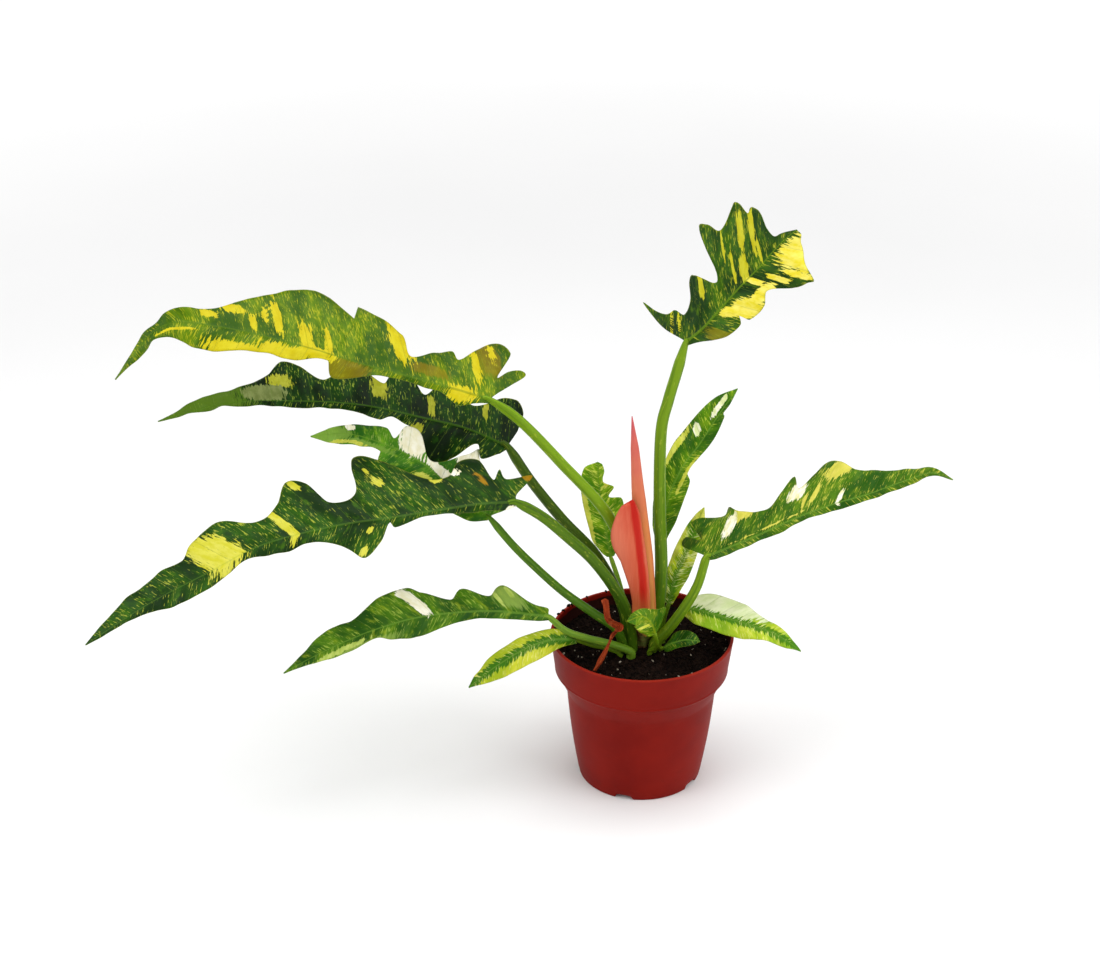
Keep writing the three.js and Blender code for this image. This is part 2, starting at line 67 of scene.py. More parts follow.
class Wire:
    # one output socket; sums on it add Math nodes
    def __init__(self, maker, socket):
        self.maker = maker
        self.socket = socket

    def math(self, operation, *others):
        values = dict(enumerate([self, *others]))
        return self.maker.node("ShaderNodeMath", {"operation": operation}, values)[0]

    def __add__(self, other):
        return self.math("ADD", other)

    def __sub__(self, other):
        return self.math("SUBTRACT", other)

    def __rsub__(self, other):
        return self.maker.node("ShaderNodeMath", {"operation": "SUBTRACT"}, {0: other, 1: self})[0]

    def __mul__(self, other):
        return self.math("MULTIPLY", other)

    def __truediv__(self, other):
        return self.math("DIVIDE", other)

    __radd__ = __add__
    __rmul__ = __mul__

    # 0 below low, 1 above high, smooth between
    def above(self, low, high):
        settings = {"interpolation_type": "SMOOTHSTEP"}
        sockets = {"Value": self, "From Min": low, "From Max": high}
        return self.maker.node("ShaderNodeMapRange", settings, sockets)[0]


class Made:
    # a finished node, read by output number or name
    def __init__(self, maker, node):
        self.maker = maker
        self.node = node

    def __getitem__(self, key):
        return Wire(self.maker, self.node.outputs[key])


class Maker:
    def __init__(self, tree):
        self.tree = tree

    def node(self, kind, settings=None, sockets=None):
        made = self.tree.nodes.new(kind)
        for name, value in (settings or {}).items():
            setattr(made, name, value)
        for key, value in (sockets or {}).items():
            if isinstance(value, Wire):
                self.tree.links.new(value.socket, made.inputs[key])
            else:
                made.inputs[key].default_value = value
        return Made(self, made)

    # the colour at a share along [share, colour] stops
    def tone(self, stops, share):
        made = self.node("ShaderNodeValToRGB", {}, {"Fac": share})
        elements = made.node.color_ramp.elements
        while len(elements) < len(stops):
            elements.new(0.5)
        for element, (place, colour) in zip(elements, stops):
            element.position = place
            element.color = colour
        return made["Color"]

    # colour mix; share 0 gives low
    def mix(self, share, low, high):
        settings = {"data_type": "RGBA", "clamp_factor": True}
        return self.node("ShaderNodeMix", settings, {0: share, 6: low, 7: high})[2]

    def attribute(self, name):
        return self.node("ShaderNodeAttribute", {"attribute_name": name})["Fac"]

    def vector(self, x=0.0, y=0.0, z=0.0):
        return self.node("ShaderNodeCombineXYZ", {}, {0: x, 1: y, 2: z})[0]

    def parts(self, vector):
        return self.node("ShaderNodeSeparateXYZ", {}, {0: vector})

    # the place on the object, in metres
    def place(self):
        return self.node("ShaderNodeTexCoord")["Object"]

    # millimetres along the midrib, and out from it with left positive
    def bladePlace(self):
        parts = self.parts(self.node("ShaderNodeUVMap", {"uv_map": "UVMap"})[0])
        return parts[0] * uvSize, parts[1] * uvSize - self.attribute("under") * (underShift * uvSize)

    def noise(self, where, scale=1.0, detail=3.0, rough=0.5):
        sockets = {"Vector": where, "Scale": scale, "Detail": detail, "Roughness": rough}
        return self.node("ShaderNodeTexNoise", {}, sockets)["Fac"]

    # noise drawn out along an axis: across and along are its scales in the plane and in height
    def grain(self, where, across, along, detail, rough):
        stretched = self.node("ShaderNodeMapping", {}, {"Vector": where, "Scale": (across, across, along)})[0]
        return self.noise(stretched, 1.0, detail, rough)


def newMaterial(name):
    material = bpy.data.materials.new(name)
    material.use_nodes = True
    material.node_tree.nodes.clear()
    return material, Maker(material.node_tree)


def finishMaterial(maker, sockets):
    shader = maker.node("ShaderNodeBsdfPrincipled", {}, sockets)
    maker.node("ShaderNodeOutputMaterial", {}, {"Surface": shader["BSDF"]})


# colour, roughness and gloss over a bump that is distance metres deep
def coat(maker, colour, rough, gloss, height, distance, strength=1.0):
    bump = {"Height": height, "Distance": distance, "Strength": strength}
    normal = maker.node("ShaderNodeBump", {}, bump)[0]
    sockets = {"Base Color": colour, "Roughness": rough, "Normal": normal, "Specular IOR Level": gloss}
    finishMaterial(maker, sockets)


def meshPiece(name, points, faces, material, node=None, slot=None, attributes=None, uvs=None):
    mesh = bpy.data.meshes.new(name)
    mesh.from_pydata([tuple(p) for p in points], [], faces)
    mesh.validate()
    for key, values in (attributes or {}).items():
        layer = mesh.attributes.new(key, "FLOAT", "POINT")
        layer.data.foreach_set("value", np.asarray(values, dtype=np.float32))
    if uvs is not None:
        layer = mesh.uv_layers.new(name="UVMap")
        corners = np.empty(len(mesh.loops), dtype=np.int32)
        mesh.loops.foreach_get("vertex_index", corners)
        layer.data.foreach_set("uv", np.asarray(uvs, dtype=np.float32)[corners].ravel())
    mesh.shade_smooth()
    mesh.materials.append(material)
    piece = bpy.data.objects.new(name, mesh)
    bpy.context.scene.collection.objects.link(piece)
    if slot:
        settle(piece, node)
    return piece


def settle(piece, node=None):
    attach(piece, "root")
    if node:
        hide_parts(node)


# millimetres from the soil at the crown, to metres in the frame
def planted(points):
    return np.asarray(points) * mm + np.array([0, 0, soilLevel])


# rows with one more at each end, in line with the last two
def padded(rows):
    return np.vstack([2 * rows[0] - rows[1], rows, 2 * rows[-1] - rows[-2]])


# uniform Catmull-Rom curve from b to c, for t from 0 to 1
def between(a, b, c, d, t):
    bend = (2 * a - 5 * b + 4 * c - d) * t**2 + (3 * b - a - 3 * c + d) * t**3
    return 0.5 * (2 * b + (c - a) * t + bend)


# a dense smooth path through points, with the length so far at each of its places
def smoothPath(points, perSpan=24):
    p = np.asarray(points, dtype=float)
    ends = padded(p)
    t = np.linspace(0, 1, perSpan, endpoint=False)[:, None]
    spans = [between(*ends[i:i + 4], t) for i in range(len(p) - 1)]
    dense = np.vstack(spans + [p[-1:]])
    length = np.concatenate([[0], np.cumsum(np.linalg.norm(np.diff(dense, axis=0), axis=1))])
    return dense, length


def along(path, share):
    dense, length = path
    at = np.clip(share, 0, 1) * length[-1]
    return np.stack([np.interp(at, length, dense[:, k]) for k in range(dense.shape[1])], axis=-1)


def unit(v):
    return v / np.linalg.norm(v, axis=-1, keepdims=True)


# faces of a closed sheet: an upper grid, a lower grid and the strip round its edge
def shellFaces(rows, columns):
    def upper(i, j):
        return i * columns + j

    def lower(i, j):
        return rows * columns + upper(i, j)

    faces = []
    for i in range(rows - 1):
        for j in range(columns - 1):
            faces.append((upper(i, j), upper(i + 1, j), upper(i + 1, j + 1), upper(i, j + 1)))
            faces.append((lower(i, j), lower(i, j + 1), lower(i + 1, j + 1), lower(i + 1, j)))
        last = columns - 1
        faces.append((upper(i, 0), lower(i, 0), lower(i + 1, 0), upper(i + 1, 0)))
        faces.append((upper(i, last), upper(i + 1, last), lower(i + 1, last), lower(i, last)))
    for j in range(columns - 1):
        end = rows - 1
        faces.append((upper(0, j), upper(0, j + 1), lower(0, j + 1), lower(0, j)))
        faces.append((upper(end, j), lower(end, j), lower(end, j + 1), upper(end, j + 1)))
    return faces


# values in columns, gathered row by row
def grid(columns):
    stacked = np.stack(columns, axis=1)
    return stacked.reshape(stacked.shape[0] * stacked.shape[1], -1)


# a smooth margin through [share, out, ahead] rows, as a function of the share
def marginCurve(rows):
    atStalk, atTip, narrowest = [0, 2.4, 0], [1, 0.3, 0], 0.25
    table = np.array([atStalk, *rows, atTip], dtype=float)
    ends = padded(table)

    def at(share):
        i = np.clip(np.searchsorted(table[:, 0], share, side="right") - 1, 0, len(table) - 2)
        t = ((share - table[i, 0]) / (table[i + 1, 0] - table[i, 0]))[:, None]
        both = between(*(ends[i + k, 1:] for k in range(4)), t)
        return np.maximum(both[:, 0], narrowest), both[:, 1]

    return table, at


# shares of the midrib, closer together where a margin runs sideways
def stationShares(tables, length, step):
    marks = np.unique(np.concatenate([t[:, 0] for t in tables]))
    shares = []
    for low, high in zip(marks[:-1], marks[1:]):
        reach = (high - low) * length
        for table in tables:
            outs = np.interp([low, high], table[:, 0], table[:, 1])
            aheads = np.interp([low, high], table[:, 0], table[:, 2])
            reach = max(reach, math.hypot(outs[1] - outs[0], reach + aheads[1] - aheads[0]))
        count = max(2, math.ceil(reach / step))
        shares.extend(np.linspace(low, high, count, endpoint=False))
    return np.array([*shares, 1.0])


# lengths in mm: veins and wave are the spacing of the side veins and of the margin's waves, droopSpan is
# how far out the blade hangs down by droop, and the half thickness thins by thinning at the margin;
# the columns on each side of the midrib crowd towards it
bladeShape = {
    "veins": 13, "slant": 0.7, "quilt": 1.2, "ripple": 2.0, "wave": 17, "ribSize": 2.0, "ridge": 0.35,
    "keel": 0.85, "cup": 0.0, "droopSpan": 30, "halfThick": 0.26, "thinning": 0.12, "baseFade": 12,
    "tipFade": 8, "columns": 11, "crowding": 1.45,
}


# a closed sheet along leaf["rib"], out to the left and right margins
def bladeMesh(name, leaf, material, slot, step=1.3):
    path = smoothPath(leaf["rib"])
    length = path[1][-1]
    tables, margins = zip(*(marginCurve(leaf[k]) for k in ("left", "right")))
    share = stationShares(tables, length, step)
    centre = along(path, share)
    nudge = 0.004
    forward = unit(along(path, share + nudge) - along(path, share - nudge))
    sideways = np.array(leaf["side"], dtype=float)[None, :]
    out = unit(sideways - forward * np.sum(sideways * forward, axis=1, keepdims=True))
    up = np.cross(forward, out)
    shape = {**bladeShape, **leaf.get("shape", {})}
    fade = np.clip(share * shape["baseFade"], 0, 1) * np.clip((1 - share) * shape["tipFade"], 0, 1)
    v = np.linspace(-1, 1, 2 * shape["columns"] + 1)
    v = np.sign(v) * np.abs(v)**shape["crowding"]
    tops, lows, uvs = [], [], []
    extra = {"edge": [], "gold": [], "cream": [], "stain": [], "share": []}
    for across in v:
        reach, ahead = margins[0 if across > 0 else 1](share)
        near = abs(across)
        y = reach * near
        x = share * length + ahead * near
        w = x - shape["slant"] * y
        bulge = (0.5 - 0.5 * np.cos(2 * math.pi * w / shape["veins"])) * min(1, near * 3) * (1 - 0.6 * near)
        row = leaf["seed"] + across * 0.7
        wave = np.array([noise.noise(Vector((q / shape["wave"], row, 0))) for q in w])
        height = -leaf["droop"] * (y / shape["droopSpan"])**2 + shape["cup"] * near**2
        height += shape["quilt"] * bulge * fade + shape["ripple"] * 2.4 * wave * near**2.2 * fade
        rib = shape["ribSize"] * (1 - 0.8 * share)
        ridge = shape["ridge"] * rib * np.exp(-(y / (0.55 * rib + 0.3))**2)
        keel = shape["keel"] * rib * np.exp(-(y / (0.6 * rib + 0.3))**2)
        place = centre + (out * (np.sign(across) * y)[:, None] + forward * (ahead * near)[:, None])
        thick = shape["halfThick"] - shape["thinning"] * near
        tops.append(place + up * (height + thick + ridge)[:, None])
        lows.append(place + up * (height - thick - keel)[:, None])
        sign = 1 if across > 0 else -1
        uvs.append(np.stack([w / uvSize, sign * y / uvSize], axis=1))
        for key in ("gold", "cream", "stain"):
            extra[key].append(patchValues(leaf.get(key, ()), w, sign * y, length))
        extra["edge"].append(np.full(len(share), near))
        extra["share"].append(share)
    rows, columns = len(share), len(v)
    points = planted(np.vstack([grid(tops), grid(lows)]))
    attributes = {k: np.tile(grid(parts).ravel(), 2) for k, parts in extra.items()}
    attributes["under"] = np.concatenate([np.zeros(rows * columns), np.ones(rows * columns)])
    uvGrid = np.vstack([grid(uvs), grid(uvs) + np.array([0, underShift])])
    meshPiece(name, points, shellFaces(rows, columns), material, name, slot, attributes, uvGrid)


# 1 in the middle of each [place on the midrib, out, half length, half width] patch, 0.5 at its edge
def patchValues(patches, w, y, length):
    value = np.zeros(len(w))
    for place, out, halfAlong, halfOut in patches:
        cubes = np.abs((w - place * length) / halfAlong)**3 + np.abs((y - out) / halfOut)**3
        value = np.maximum(value, np.clip(1 - 0.5 * cubes**(1 / 3), 0, 1))
    return value


def leafMaterial(name, look):
    look = mergedLook(leafLook, look)
    material, m = newMaterial(name)
    w, y = m.bladePlace()
    seed = look["seed"]
    # streaks and fine run along the side veins, broad and mottle are cloudy
    streaks = m.noise(m.vector(w * 0.6, y * 0.1, seed), 1.0, 4.0, 0.6)
    fine = m.noise(m.vector(w * 1.6, y * 0.24, seed + 3.0), 1.0, 2.0, 0.5)
    broad = m.noise(m.vector(w * 0.045, y * 0.03, seed + 7.0), 1.0, 2.0, 0.5)
    mottle = m.noise(m.vector(w * 0.2, y * 0.13, seed + 11.0), 1.0, 4.0, 0.6)
    green = m.mix(broad.above(0.38, 0.62), look["deep"], look["green"])
    green = m.mix((1 - mottle.above(0.34, 0.52)) * 0.6, green, look["deep"])
    green = m.mix(mottle.above(0.52, 0.72) * 0.55, green, look["light"])
    fromRib = y.math("ABSOLUTE")
    heart = 1 - (fromRib + (streaks - 0.5) * 9).above(look["heartWidth"], look["heartWidth"] + 0.9)
    green = m.mix(heart * look["heartAmount"], green, look["heart"])
    ragged = (streaks - 0.5) * 1.0 + (fine - 0.5) * 0.4
    stainMask = (m.attribute("stain") + ragged * 0.8).above(0.42, 0.62)
    green = m.mix(stainMask * look["stainAmount"], green, look["stain"])
    clusters = broad.above(0.3, 0.65) * 0.06
    limit = look["fleckLimit"]
    flecks = (fine * 0.6 + streaks * 0.4 + clusters).above(limit, limit + 0.045) * look["fleckAmount"]
    colour = m.mix(flecks * (1 - stainMask * 0.7), green, look["fleck"])
    bands = (streaks * 0.7 + broad * 0.3).above(look["bandLimit"], look["bandLimit"] + 0.05)
    colour = m.mix(bands * look["bandAmount"], colour, look["band"])
    goldMask = (m.attribute("gold") + ragged).above(0.48, 0.53)
    goldTone = m.mix(mottle.above(0.35, 0.65), look["gold"], look["goldLight"])
    goldTone = m.mix((mottle * 0.4 + fine * 0.6).above(0.6, 0.64) * 0.45, goldTone, look["light"])
    colour = m.mix(goldMask, colour, goldTone)
    creamMask = (m.attribute("cream") + ragged * 0.75).above(0.48, 0.52)
    creamTone = m.mix(mottle.above(0.35, 0.65), look["cream"], look["creamLight"])
    colour = m.mix(creamMask, colour, creamTone)
    # one light line up the middle, thinning to the tip, and fainter veins out to the margin
    ribHalf = look["ribWidth"] * (1 - m.attribute("share") * 0.75)
    middle = 1 - (fromRib / ribHalf).above(0.6, 1.0)
    phase = (w / look["veins"]).math("FRACT")
    vein = (phase - 0.5).math("ABSOLUTE").above(0.5 - 0.4 / look["veins"], 0.5)
    colour = m.mix(vein * look["veinStrength"], colour, look["vein"])
    colour = m.mix(middle * look["ribStrength"], colour, look["ribColour"])
    rimLine = m.attribute("edge").above(0.97, 0.995)
    colour = m.mix(rimLine * 0.45, colour, look["edge"])
    colour = m.mix(m.attribute("under") * 0.45, colour, look["below"])
    rough = mottle * 0.2 + look["rough"] + fine * 0.08
    pores = m.noise(m.vector(w * 4, y * 4, seed), 1.0, 2.0)
    height = fine * 0.2 + mottle * 0.6 - vein * 0.9 + pores * 0.15
    coat(m, colour, rough, look["gloss"], height, 0.35 * mm, 0.7)
    return material


leafLook = {
    "green": (48, 96, 22), "deep": (26, 64, 14), "light": (92, 138, 34),
    "fleck": (180, 190, 70), "fleckLimit": 0.595, "fleckAmount": 0.7,
    "band": (170, 180, 50), "bandLimit": 0.64, "bandAmount": 0.7,
    "gold": (184, 190, 50), "goldLight": (206, 208, 92),
    "cream": (232, 226, 190), "creamLight": (246, 242, 224),
    "stain": (120, 110, 30), "stainAmount": 0.7,
    "heart": (40, 100, 14), "heartWidth": 2.0, "heartAmount": 0.0,
    "vein": (110, 146, 44), "veins": 13, "veinStrength": 0.22,
    "ribColour": (104, 144, 44), "ribWidth": 1.1, "ribStrength": 0.5,
    "edge": (130, 140, 20), "below": (104, 138, 40), "rough": 0.3, "gloss": 0.12, "seed": 0.0,
}

leaves = {
    "upper_left": {
        "rib": [[-97, -8, 181], [-131, -10, 193], [-172, -14, 207], [-215, -18, 223], [-262, -23, 237],
                [-294, -27, 238], [-323, -32, 206]],
        "side": [0, -0.78, -0.62], "droop": 4, "seed": 1.0,
        "left": [[0.03, 5, 0], [0.08, 9, -1], [0.13, 4, 0], [0.26, 4, 2], [0.36, 13, 8], [0.4, 4, 3],
                 [0.53, 11, -4], [0.6, 11, -6], [0.69, 16, 0], [0.77, 14, -4], [0.87, 7, -5]],
        "right": [[0.01, 15, -14], [0.014, 25, -23], [0.02, 28, -21], [0.028, 24, -15], [0.036, 18, -11],
                  [0.052, 39, -21], [0.085, 44, -17], [0.125, 23, -9], [0.155, 28, -10], [0.22, 15, -3],
                  [0.27, 30, -8], [0.385, 44, -6], [0.405, 31, -11], [0.47, 41, -7], [0.52, 43, -9],
                  [0.6, 34, -10], [0.7, 20, -12], [0.78, 9, -11], [0.9, 4, -8]],
        "look": {"green": (88, 120, 2), "deep": (46, 82, 0), "light": (124, 140, 4),
                 "fleck": (172, 172, 28), "fleckLimit": 0.58, "gold": (190, 174, 6),
                 "goldLight": (200, 188, 28), "stain": (132, 108, 4), "stainAmount": 0.6,
                 "ribColour": (80, 112, 2)},
        "gold": [[0.602, 13, 26, 5.5], [0.515, 8, 17, 6], [0.465, -3, 4.5, 13], [0.41, -9, 2, 8],
                 [0.43, 2, 9, 4], [0.531, -15, 3, 13], [0.561, -15, 2, 6], [0.595, -8, 2.5, 6],
                 [0.636, -15, 7, 3.5], [0.7, -8, 5, 2.5], [0.788, 4, 14, 0.9], [0.211, -24, 7, 15],
                 [0.07, 2, 9, 6], [0.022, -22, 3, 15], [-0.032, -36, 3, 8]],
        "stain": [[0.356, 7, 15, 7], [0.15, -8, 13, 4], [-0.018, -30, 9, 14]],
        "shape": {"slant": 0.35},
        "base": [90, 5, 5],
        "stalk": [[-3, 9, 38], [-22, 2, 93], [-54, -3, 136], [-79, -6, 166], [-97, -8, 181]],
        "girth": [4.2, 3.4],
    },
    "dark": {
        "rib": [[-87, 22, 134], [-113, 27, 144], [-140, 32, 149], [-180, 37, 156], [-221, 43, 156],
                [-266, 49, 152], [-315, 55, 136]],
        "side": [0, -0.81, -0.58], "droop": 4, "seed": 2.0,
        "left": [[0.02, 7, -2], [0.06, 16, -2], [0.1, 8, -5], [0.16, 21, -7], [0.21, 28, -5],
                 [0.28, 11, -6], [0.325, 5, -1], [0.365, 9, -2], [0.42, 5, -3], [0.6, 4, -3], [0.8, 3, -1]],
        "right": [[0.01, 14, -4], [0.03, 30, -7], [0.055, 37, -4], [0.12, 20, 1], [0.16, 27, 6],
                  [0.21, 26, 5], [0.25, 18, 2], [0.3, 27, 0], [0.35, 28, 2], [0.38, 20, -2], [0.43, 27, -1],
                  [0.48, 26, 0], [0.54, 18, -1], [0.61, 27, -1], [0.665, 31, -2], [0.7, 21, -4],
                  [0.77, 12, -5], [0.87, 10, -5]],
        "look": {"green": (18, 54, 2), "deep": (4, 24, 0), "light": (34, 76, 2), "fleck": (142, 160, 52),
                 "fleckAmount": 0.75, "fleckLimit": 0.61, "gold": (140, 144, 24),
                 "goldLight": (164, 164, 48), "cream": (92, 104, 50), "creamLight": (114, 124, 70),
                 "stain": (84, 116, 20), "ribColour": (66, 104, 8), "ribStrength": 0.45, "gloss": 0.08},
        "gold": [[0.63, -15, 9, 5], [0.36, -16, 5, 9], [0.218, -11, 2.5, 8], [0.07, -18, 1.8, 6],
                 [0.24, 9, 4, 4]],
        "cream": [[0.68, -6, 14, 6]],
        "stain": [[0.9, -4, 44, 12]],
        "shape": {"slant": 0.3},
        "base": [151, 5.3, 8],
        "stalk": [[-14, 6, 30], [-30, 8, 62], [-52, 13, 86], [-72, 18, 111], [-87, 22, 134]],
        "girth": [4.2, 3.6],
    },
    "lower_left": {
        "rib": [[-81, -30, 121], [-103, -38, 124], [-128, -46, 124], [-157, -54, 123], [-191, -63, 122],
                [-234, -76, 116], [-267, -86, 102], [-302, -95, 86], [-341, -105, 63]],
        "side": [0, -0.75, -0.66], "droop": 5, "seed": 3.0,
        "left": [[0.03, 5, 1], [0.1, 4, 3], [0.205, 3, 4], [0.26, 6, 5], [0.285, 3, 1], [0.32, 14, -2],
                 [0.36, 23, -1], [0.405, 13, -1], [0.465, 7, 2], [0.51, 9, 3], [0.61, 5, 3], [0.72, 10, -2],
                 [0.79, 10, -3], [0.9, 4, -4]],
        "right": [[0.015, 6, -6], [0.028, 18, -22], [0.045, 16, -9], [0.055, 23, -9], [0.067, 16, -7],
                  [0.09, 31, -8], [0.12, 31, -4], [0.15, 21, -3], [0.185, 23, 1], [0.245, 43, 12],
                  [0.275, 48, 15], [0.3, 38, 13], [0.33, 19, 6], [0.36, 16, 14], [0.39, 33, 16],
                  [0.42, 37, 18], [0.45, 24, 17], [0.49, 17, 15], [0.53, 17, 14], [0.6, 28, 11],
                  [0.66, 24, 10], [0.7, 16, 10], [0.79, 14, 4], [0.9, 10, 3]],
        "look": {"green": (36, 78, 2), "deep": (12, 42, 0), "light": (68, 110, 4), "fleck": (170, 178, 58),
                 "fleckAmount": 0.8, "fleckLimit": 0.61, "gold": (192, 188, 44),
                 "goldLight": (206, 202, 78), "stain": (180, 130, 4), "ribStrength": 0.2},
        "gold": [[0.645, -10, 13, 16], [0.493, -8, 3, 13], [0.24, -26, 3.5, 4], [0.32, 6, 2, 2],
                 [0.316, 19, 3, 3], [0.4, -33, 3, 4], [0.24, -34, 2, 4], [0.125, -21, 4, 3]],
        "cream": [[0.075, -24, 4, 3], [0.0, 5, 5, 3]],
        "stain": [[-0.08, -17, 6, 3.5], [0.035, -17, 2, 5]],
        "shape": {"slant": 0.6},
        "base": [217, 5, 14],
        "stalk": [[-12, -9, 34], [-20, -11, 51], [-33, -15, 72], [-49, -20, 91], [-65, -26, 109],
                  [-81, -30, 121]],
        "girth": [4.2, 3.6],
    },
    "cream_half": {
        "rib": [[-98, -22, 106], [-108, -19, 113], [-123, -15, 124], [-137, -9, 135], [-151, -6, 143],
                [-164, -3, 148], [-186, -1, 154], [-210, -2, 153]],
        "side": [0, -0.8, -0.6], "droop": 3, "seed": 4.0,
        "left": [[0.05, 11, 3], [0.1, 14, 7], [0.22, 13, 10], [0.42, 18, 20], [0.465, 15, 20], [0.5, 8, 17],
                 [0.6, 7, 15], [0.75, 9, 10], [0.88, 4, 6]],
        "right": [[0.03, 12, -9], [0.055, 19, -13], [0.09, 21, -10], [0.2, 31, 0], [0.235, 39, 2],
                  [0.29, 28, 2], [0.35, 9, 2], [0.4, 6, 3], [0.475, 19, 5], [0.52, 18, 8], [0.585, 6, 2],
                  [0.635, 11, 2], [0.9, 4, 1]],
        "look": {"green": (84, 140, 20), "deep": (34, 90, 10), "light": (150, 188, 40),
                 "fleck": (170, 190, 90), "fleckAmount": 0.5, "gold": (186, 190, 60),
                 "stain": (130, 166, 64)},
        "gold": [[0.33, 9, 9, 4], [0.8, 6, 16, 1.6]],
        "cream": [[0.49, -11, 10, 10], [0.2, -28, 10, 14], [0.33, -4, 9, 3.5], [0.8, -5, 3, 2]],
        "stain": [[0.9, 0, 14, 6], [0.7, 5, 18, 3]],
        "shape": {"slant": 0.3},
        "base": [215, 10.8, 7],
        "stalk": [[-18, -12, 20], [-32, -12, 31], [-52, -15, 49], [-70, -18, 69], [-84, -20, 86],
                  [-98, -22, 106]],
        "girth": [3.2, 2.6],
    },
    "low_left": {
        "rib": [[-61, -20, 33], [-99, -32, 44], [-138, -45, 48], [-163, -54, 46], [-185, -62, 41],
                [-208, -70, 33], [-226, -76, 25]],
        "side": [-0.05, -0.75, -0.67], "droop": 3, "seed": 5.0,
        "left": [[0.05, 4, -1], [0.15, 5, 4], [0.29, 6, 7], [0.46, 12, 9], [0.52, 11, 10], [0.6, 6, 8],
                 [0.71, 7, 6], [0.8, 6, 3], [0.9, 3, 2]],
        "right": [[0.03, 6, -5], [0.08, 9, 0], [0.13, 18, 8], [0.2, 10, 5], [0.29, 16, 5], [0.36, 9, 1],
                  [0.45, 16, 3], [0.5, 21, 1], [0.58, 19, 3], [0.68, 12, 4], [0.76, 12, 0], [0.85, 10, -2],
                  [0.93, 5, -2]],
        "look": {"green": (74, 118, 12), "deep": (28, 72, 4), "light": (152, 170, 32),
                 "fleck": (170, 192, 72), "fleckAmount": 0.6, "stain": (142, 168, 74),
                 "gold": (152, 176, 66), "goldLight": (186, 200, 104)},
        "cream": [[0.45, -11, 4, 11]],
        "gold": [[0.77, 4, 18, 1.4], [0.1, -14, 2, 4], [0.16, -9, 2, 5]],
        "stain": [[0.12, -11, 11, 8], [0.7, 8, 30, 3]],
        "base": [242, 12, 4],
        "stalk": [[-20, -18, 11], [-37, -18, 16], [-50, -19, 22], [-61, -20, 33]],
        "girth": [2.8, 2.2],
    },
    "yellow_low": {
        "rib": [[-43, -17, 14], [-60, -26, 19], [-78, -34, 16], [-97, -42, 7], [-112, -48, -3]],
        "side": [0, -0.75, -0.66], "droop": 3, "seed": 6.0,
        "left": [[0.1, 4, 0], [0.25, 8, 1], [0.42, 10, 3], [0.6, 9, 6], [0.8, 5, 6]],
        "right": [[0.1, 4, -1], [0.25, 7, -3], [0.42, 8, -4], [0.6, 8, -3], [0.78, 7, -2], [0.9, 4, 0]],
        "look": {"green": (192, 196, 46), "deep": (152, 170, 28), "light": (214, 212, 96),
                 "fleck": (218, 218, 124), "heart": (44, 104, 8), "heartWidth": 2.7, "heartAmount": 0.95},
        "base": [223, 15.5, 2.5],
        "stalk": [[-24, -12, 5], [-32, -14, 8], [-43, -17, 14]],
        "girth": [1.8, 1.5],
    },
    "back_left": {
        "rib": [[-20, 40, 44], [-23, 44, 62], [-27, 49, 82], [-29, 54, 107]],
        "side": [-1, 0.1, 0], "droop": 2, "seed": 7.0,
        "left": [[0.06, 5, -1], [0.18, 10, 0], [0.38, 11, 1], [0.58, 12, 3], [0.72, 12, 4], [0.88, 9, 4]],
        "right": [[0.06, 4, -2], [0.2, 11, -1], [0.36, 14, 5], [0.46, 14, 8], [0.53, 6, 6], [0.6, 10, 8],
                  [0.68, 3, 7], [0.8, 4, 6], [0.93, 3, 3]],
        "look": {"green": (118, 164, 10), "deep": (60, 118, 4), "light": (168, 194, 32),
                 "fleck": (220, 226, 92), "fleckAmount": 0.8, "fleckLimit": 0.575},
        "gold": [[0.3, 10, 22, 2.2], [0.75, -6, 5, 3], [0.2, -8, 3, 4]],
        "base": [118, 9.8, 3],
        "stalk": [[-11, 18, 20], [-15, 28, 33], [-20, 40, 44]],
        "girth": [2.2, 1.7],
    },
    "top": {
        "rib": [[24, 10, 212], [34, 8, 222], [44, 5, 236], [55, 1, 252], [67, -3, 268], [78, -7, 284],
                [87, -10, 294]],
        "side": [-0.7, 0.5, 0.3], "droop": 4, "seed": 8.0,
        "left": [[0.015, 16, -9], [0.028, 38, -15], [0.045, 29, -12], [0.065, 22, -8], [0.085, 21, -4],
                 [0.115, 15, -3], [0.15, 19, 3], [0.2, 28, 6], [0.23, 28, 8], [0.34, 13, 7], [0.38, 21, 9],
                 [0.455, 46, 6], [0.49, 44, 8], [0.54, 34, 9], [0.6, 40, 16], [0.625, 41, 17],
                 [0.64, 37, 18], [0.655, 29, 18], [0.68, 30, 19], [0.71, 28, 18], [0.75, 22, 15],
                 [0.8, 13, 7], [0.86, 6, 1], [0.92, 4, 0]],
        "right": [[0.03, 5, 4], [0.08, 10, 8], [0.15, 15, 10], [0.22, 16, 12], [0.28, 11, 10],
                  [0.34, 18, 6], [0.44, 19, 10], [0.49, 14, 13], [0.6, 24, 16], [0.67, 28, 17],
                  [0.73, 30, 14], [0.8, 19, 10], [0.88, 9, 8], [0.95, 4, 6]],
        "look": {"green": (52, 94, 2), "deep": (16, 50, 0), "light": (90, 126, 2), "fleck": (176, 180, 44),
                 "gold": (184, 176, 12), "goldLight": (196, 192, 44), "cream": (226, 210, 40),
                 "creamLight": (240, 228, 104), "stain": (136, 128, 12), "ribColour": (102, 136, 6),
                 "ribStrength": 0.6},
        "gold": [[0.575, 25, 2.8, 10], [0.675, 19, 2.6, 12], [0.43, 25, 1, 9], [0.475, 11, 1.1, 9],
                 [0.705, 8, 0.9, 7], [0.555, 7, 3.2, 8], [0.2, 18, 2.2, 6], [0.19, 30, 1, 6],
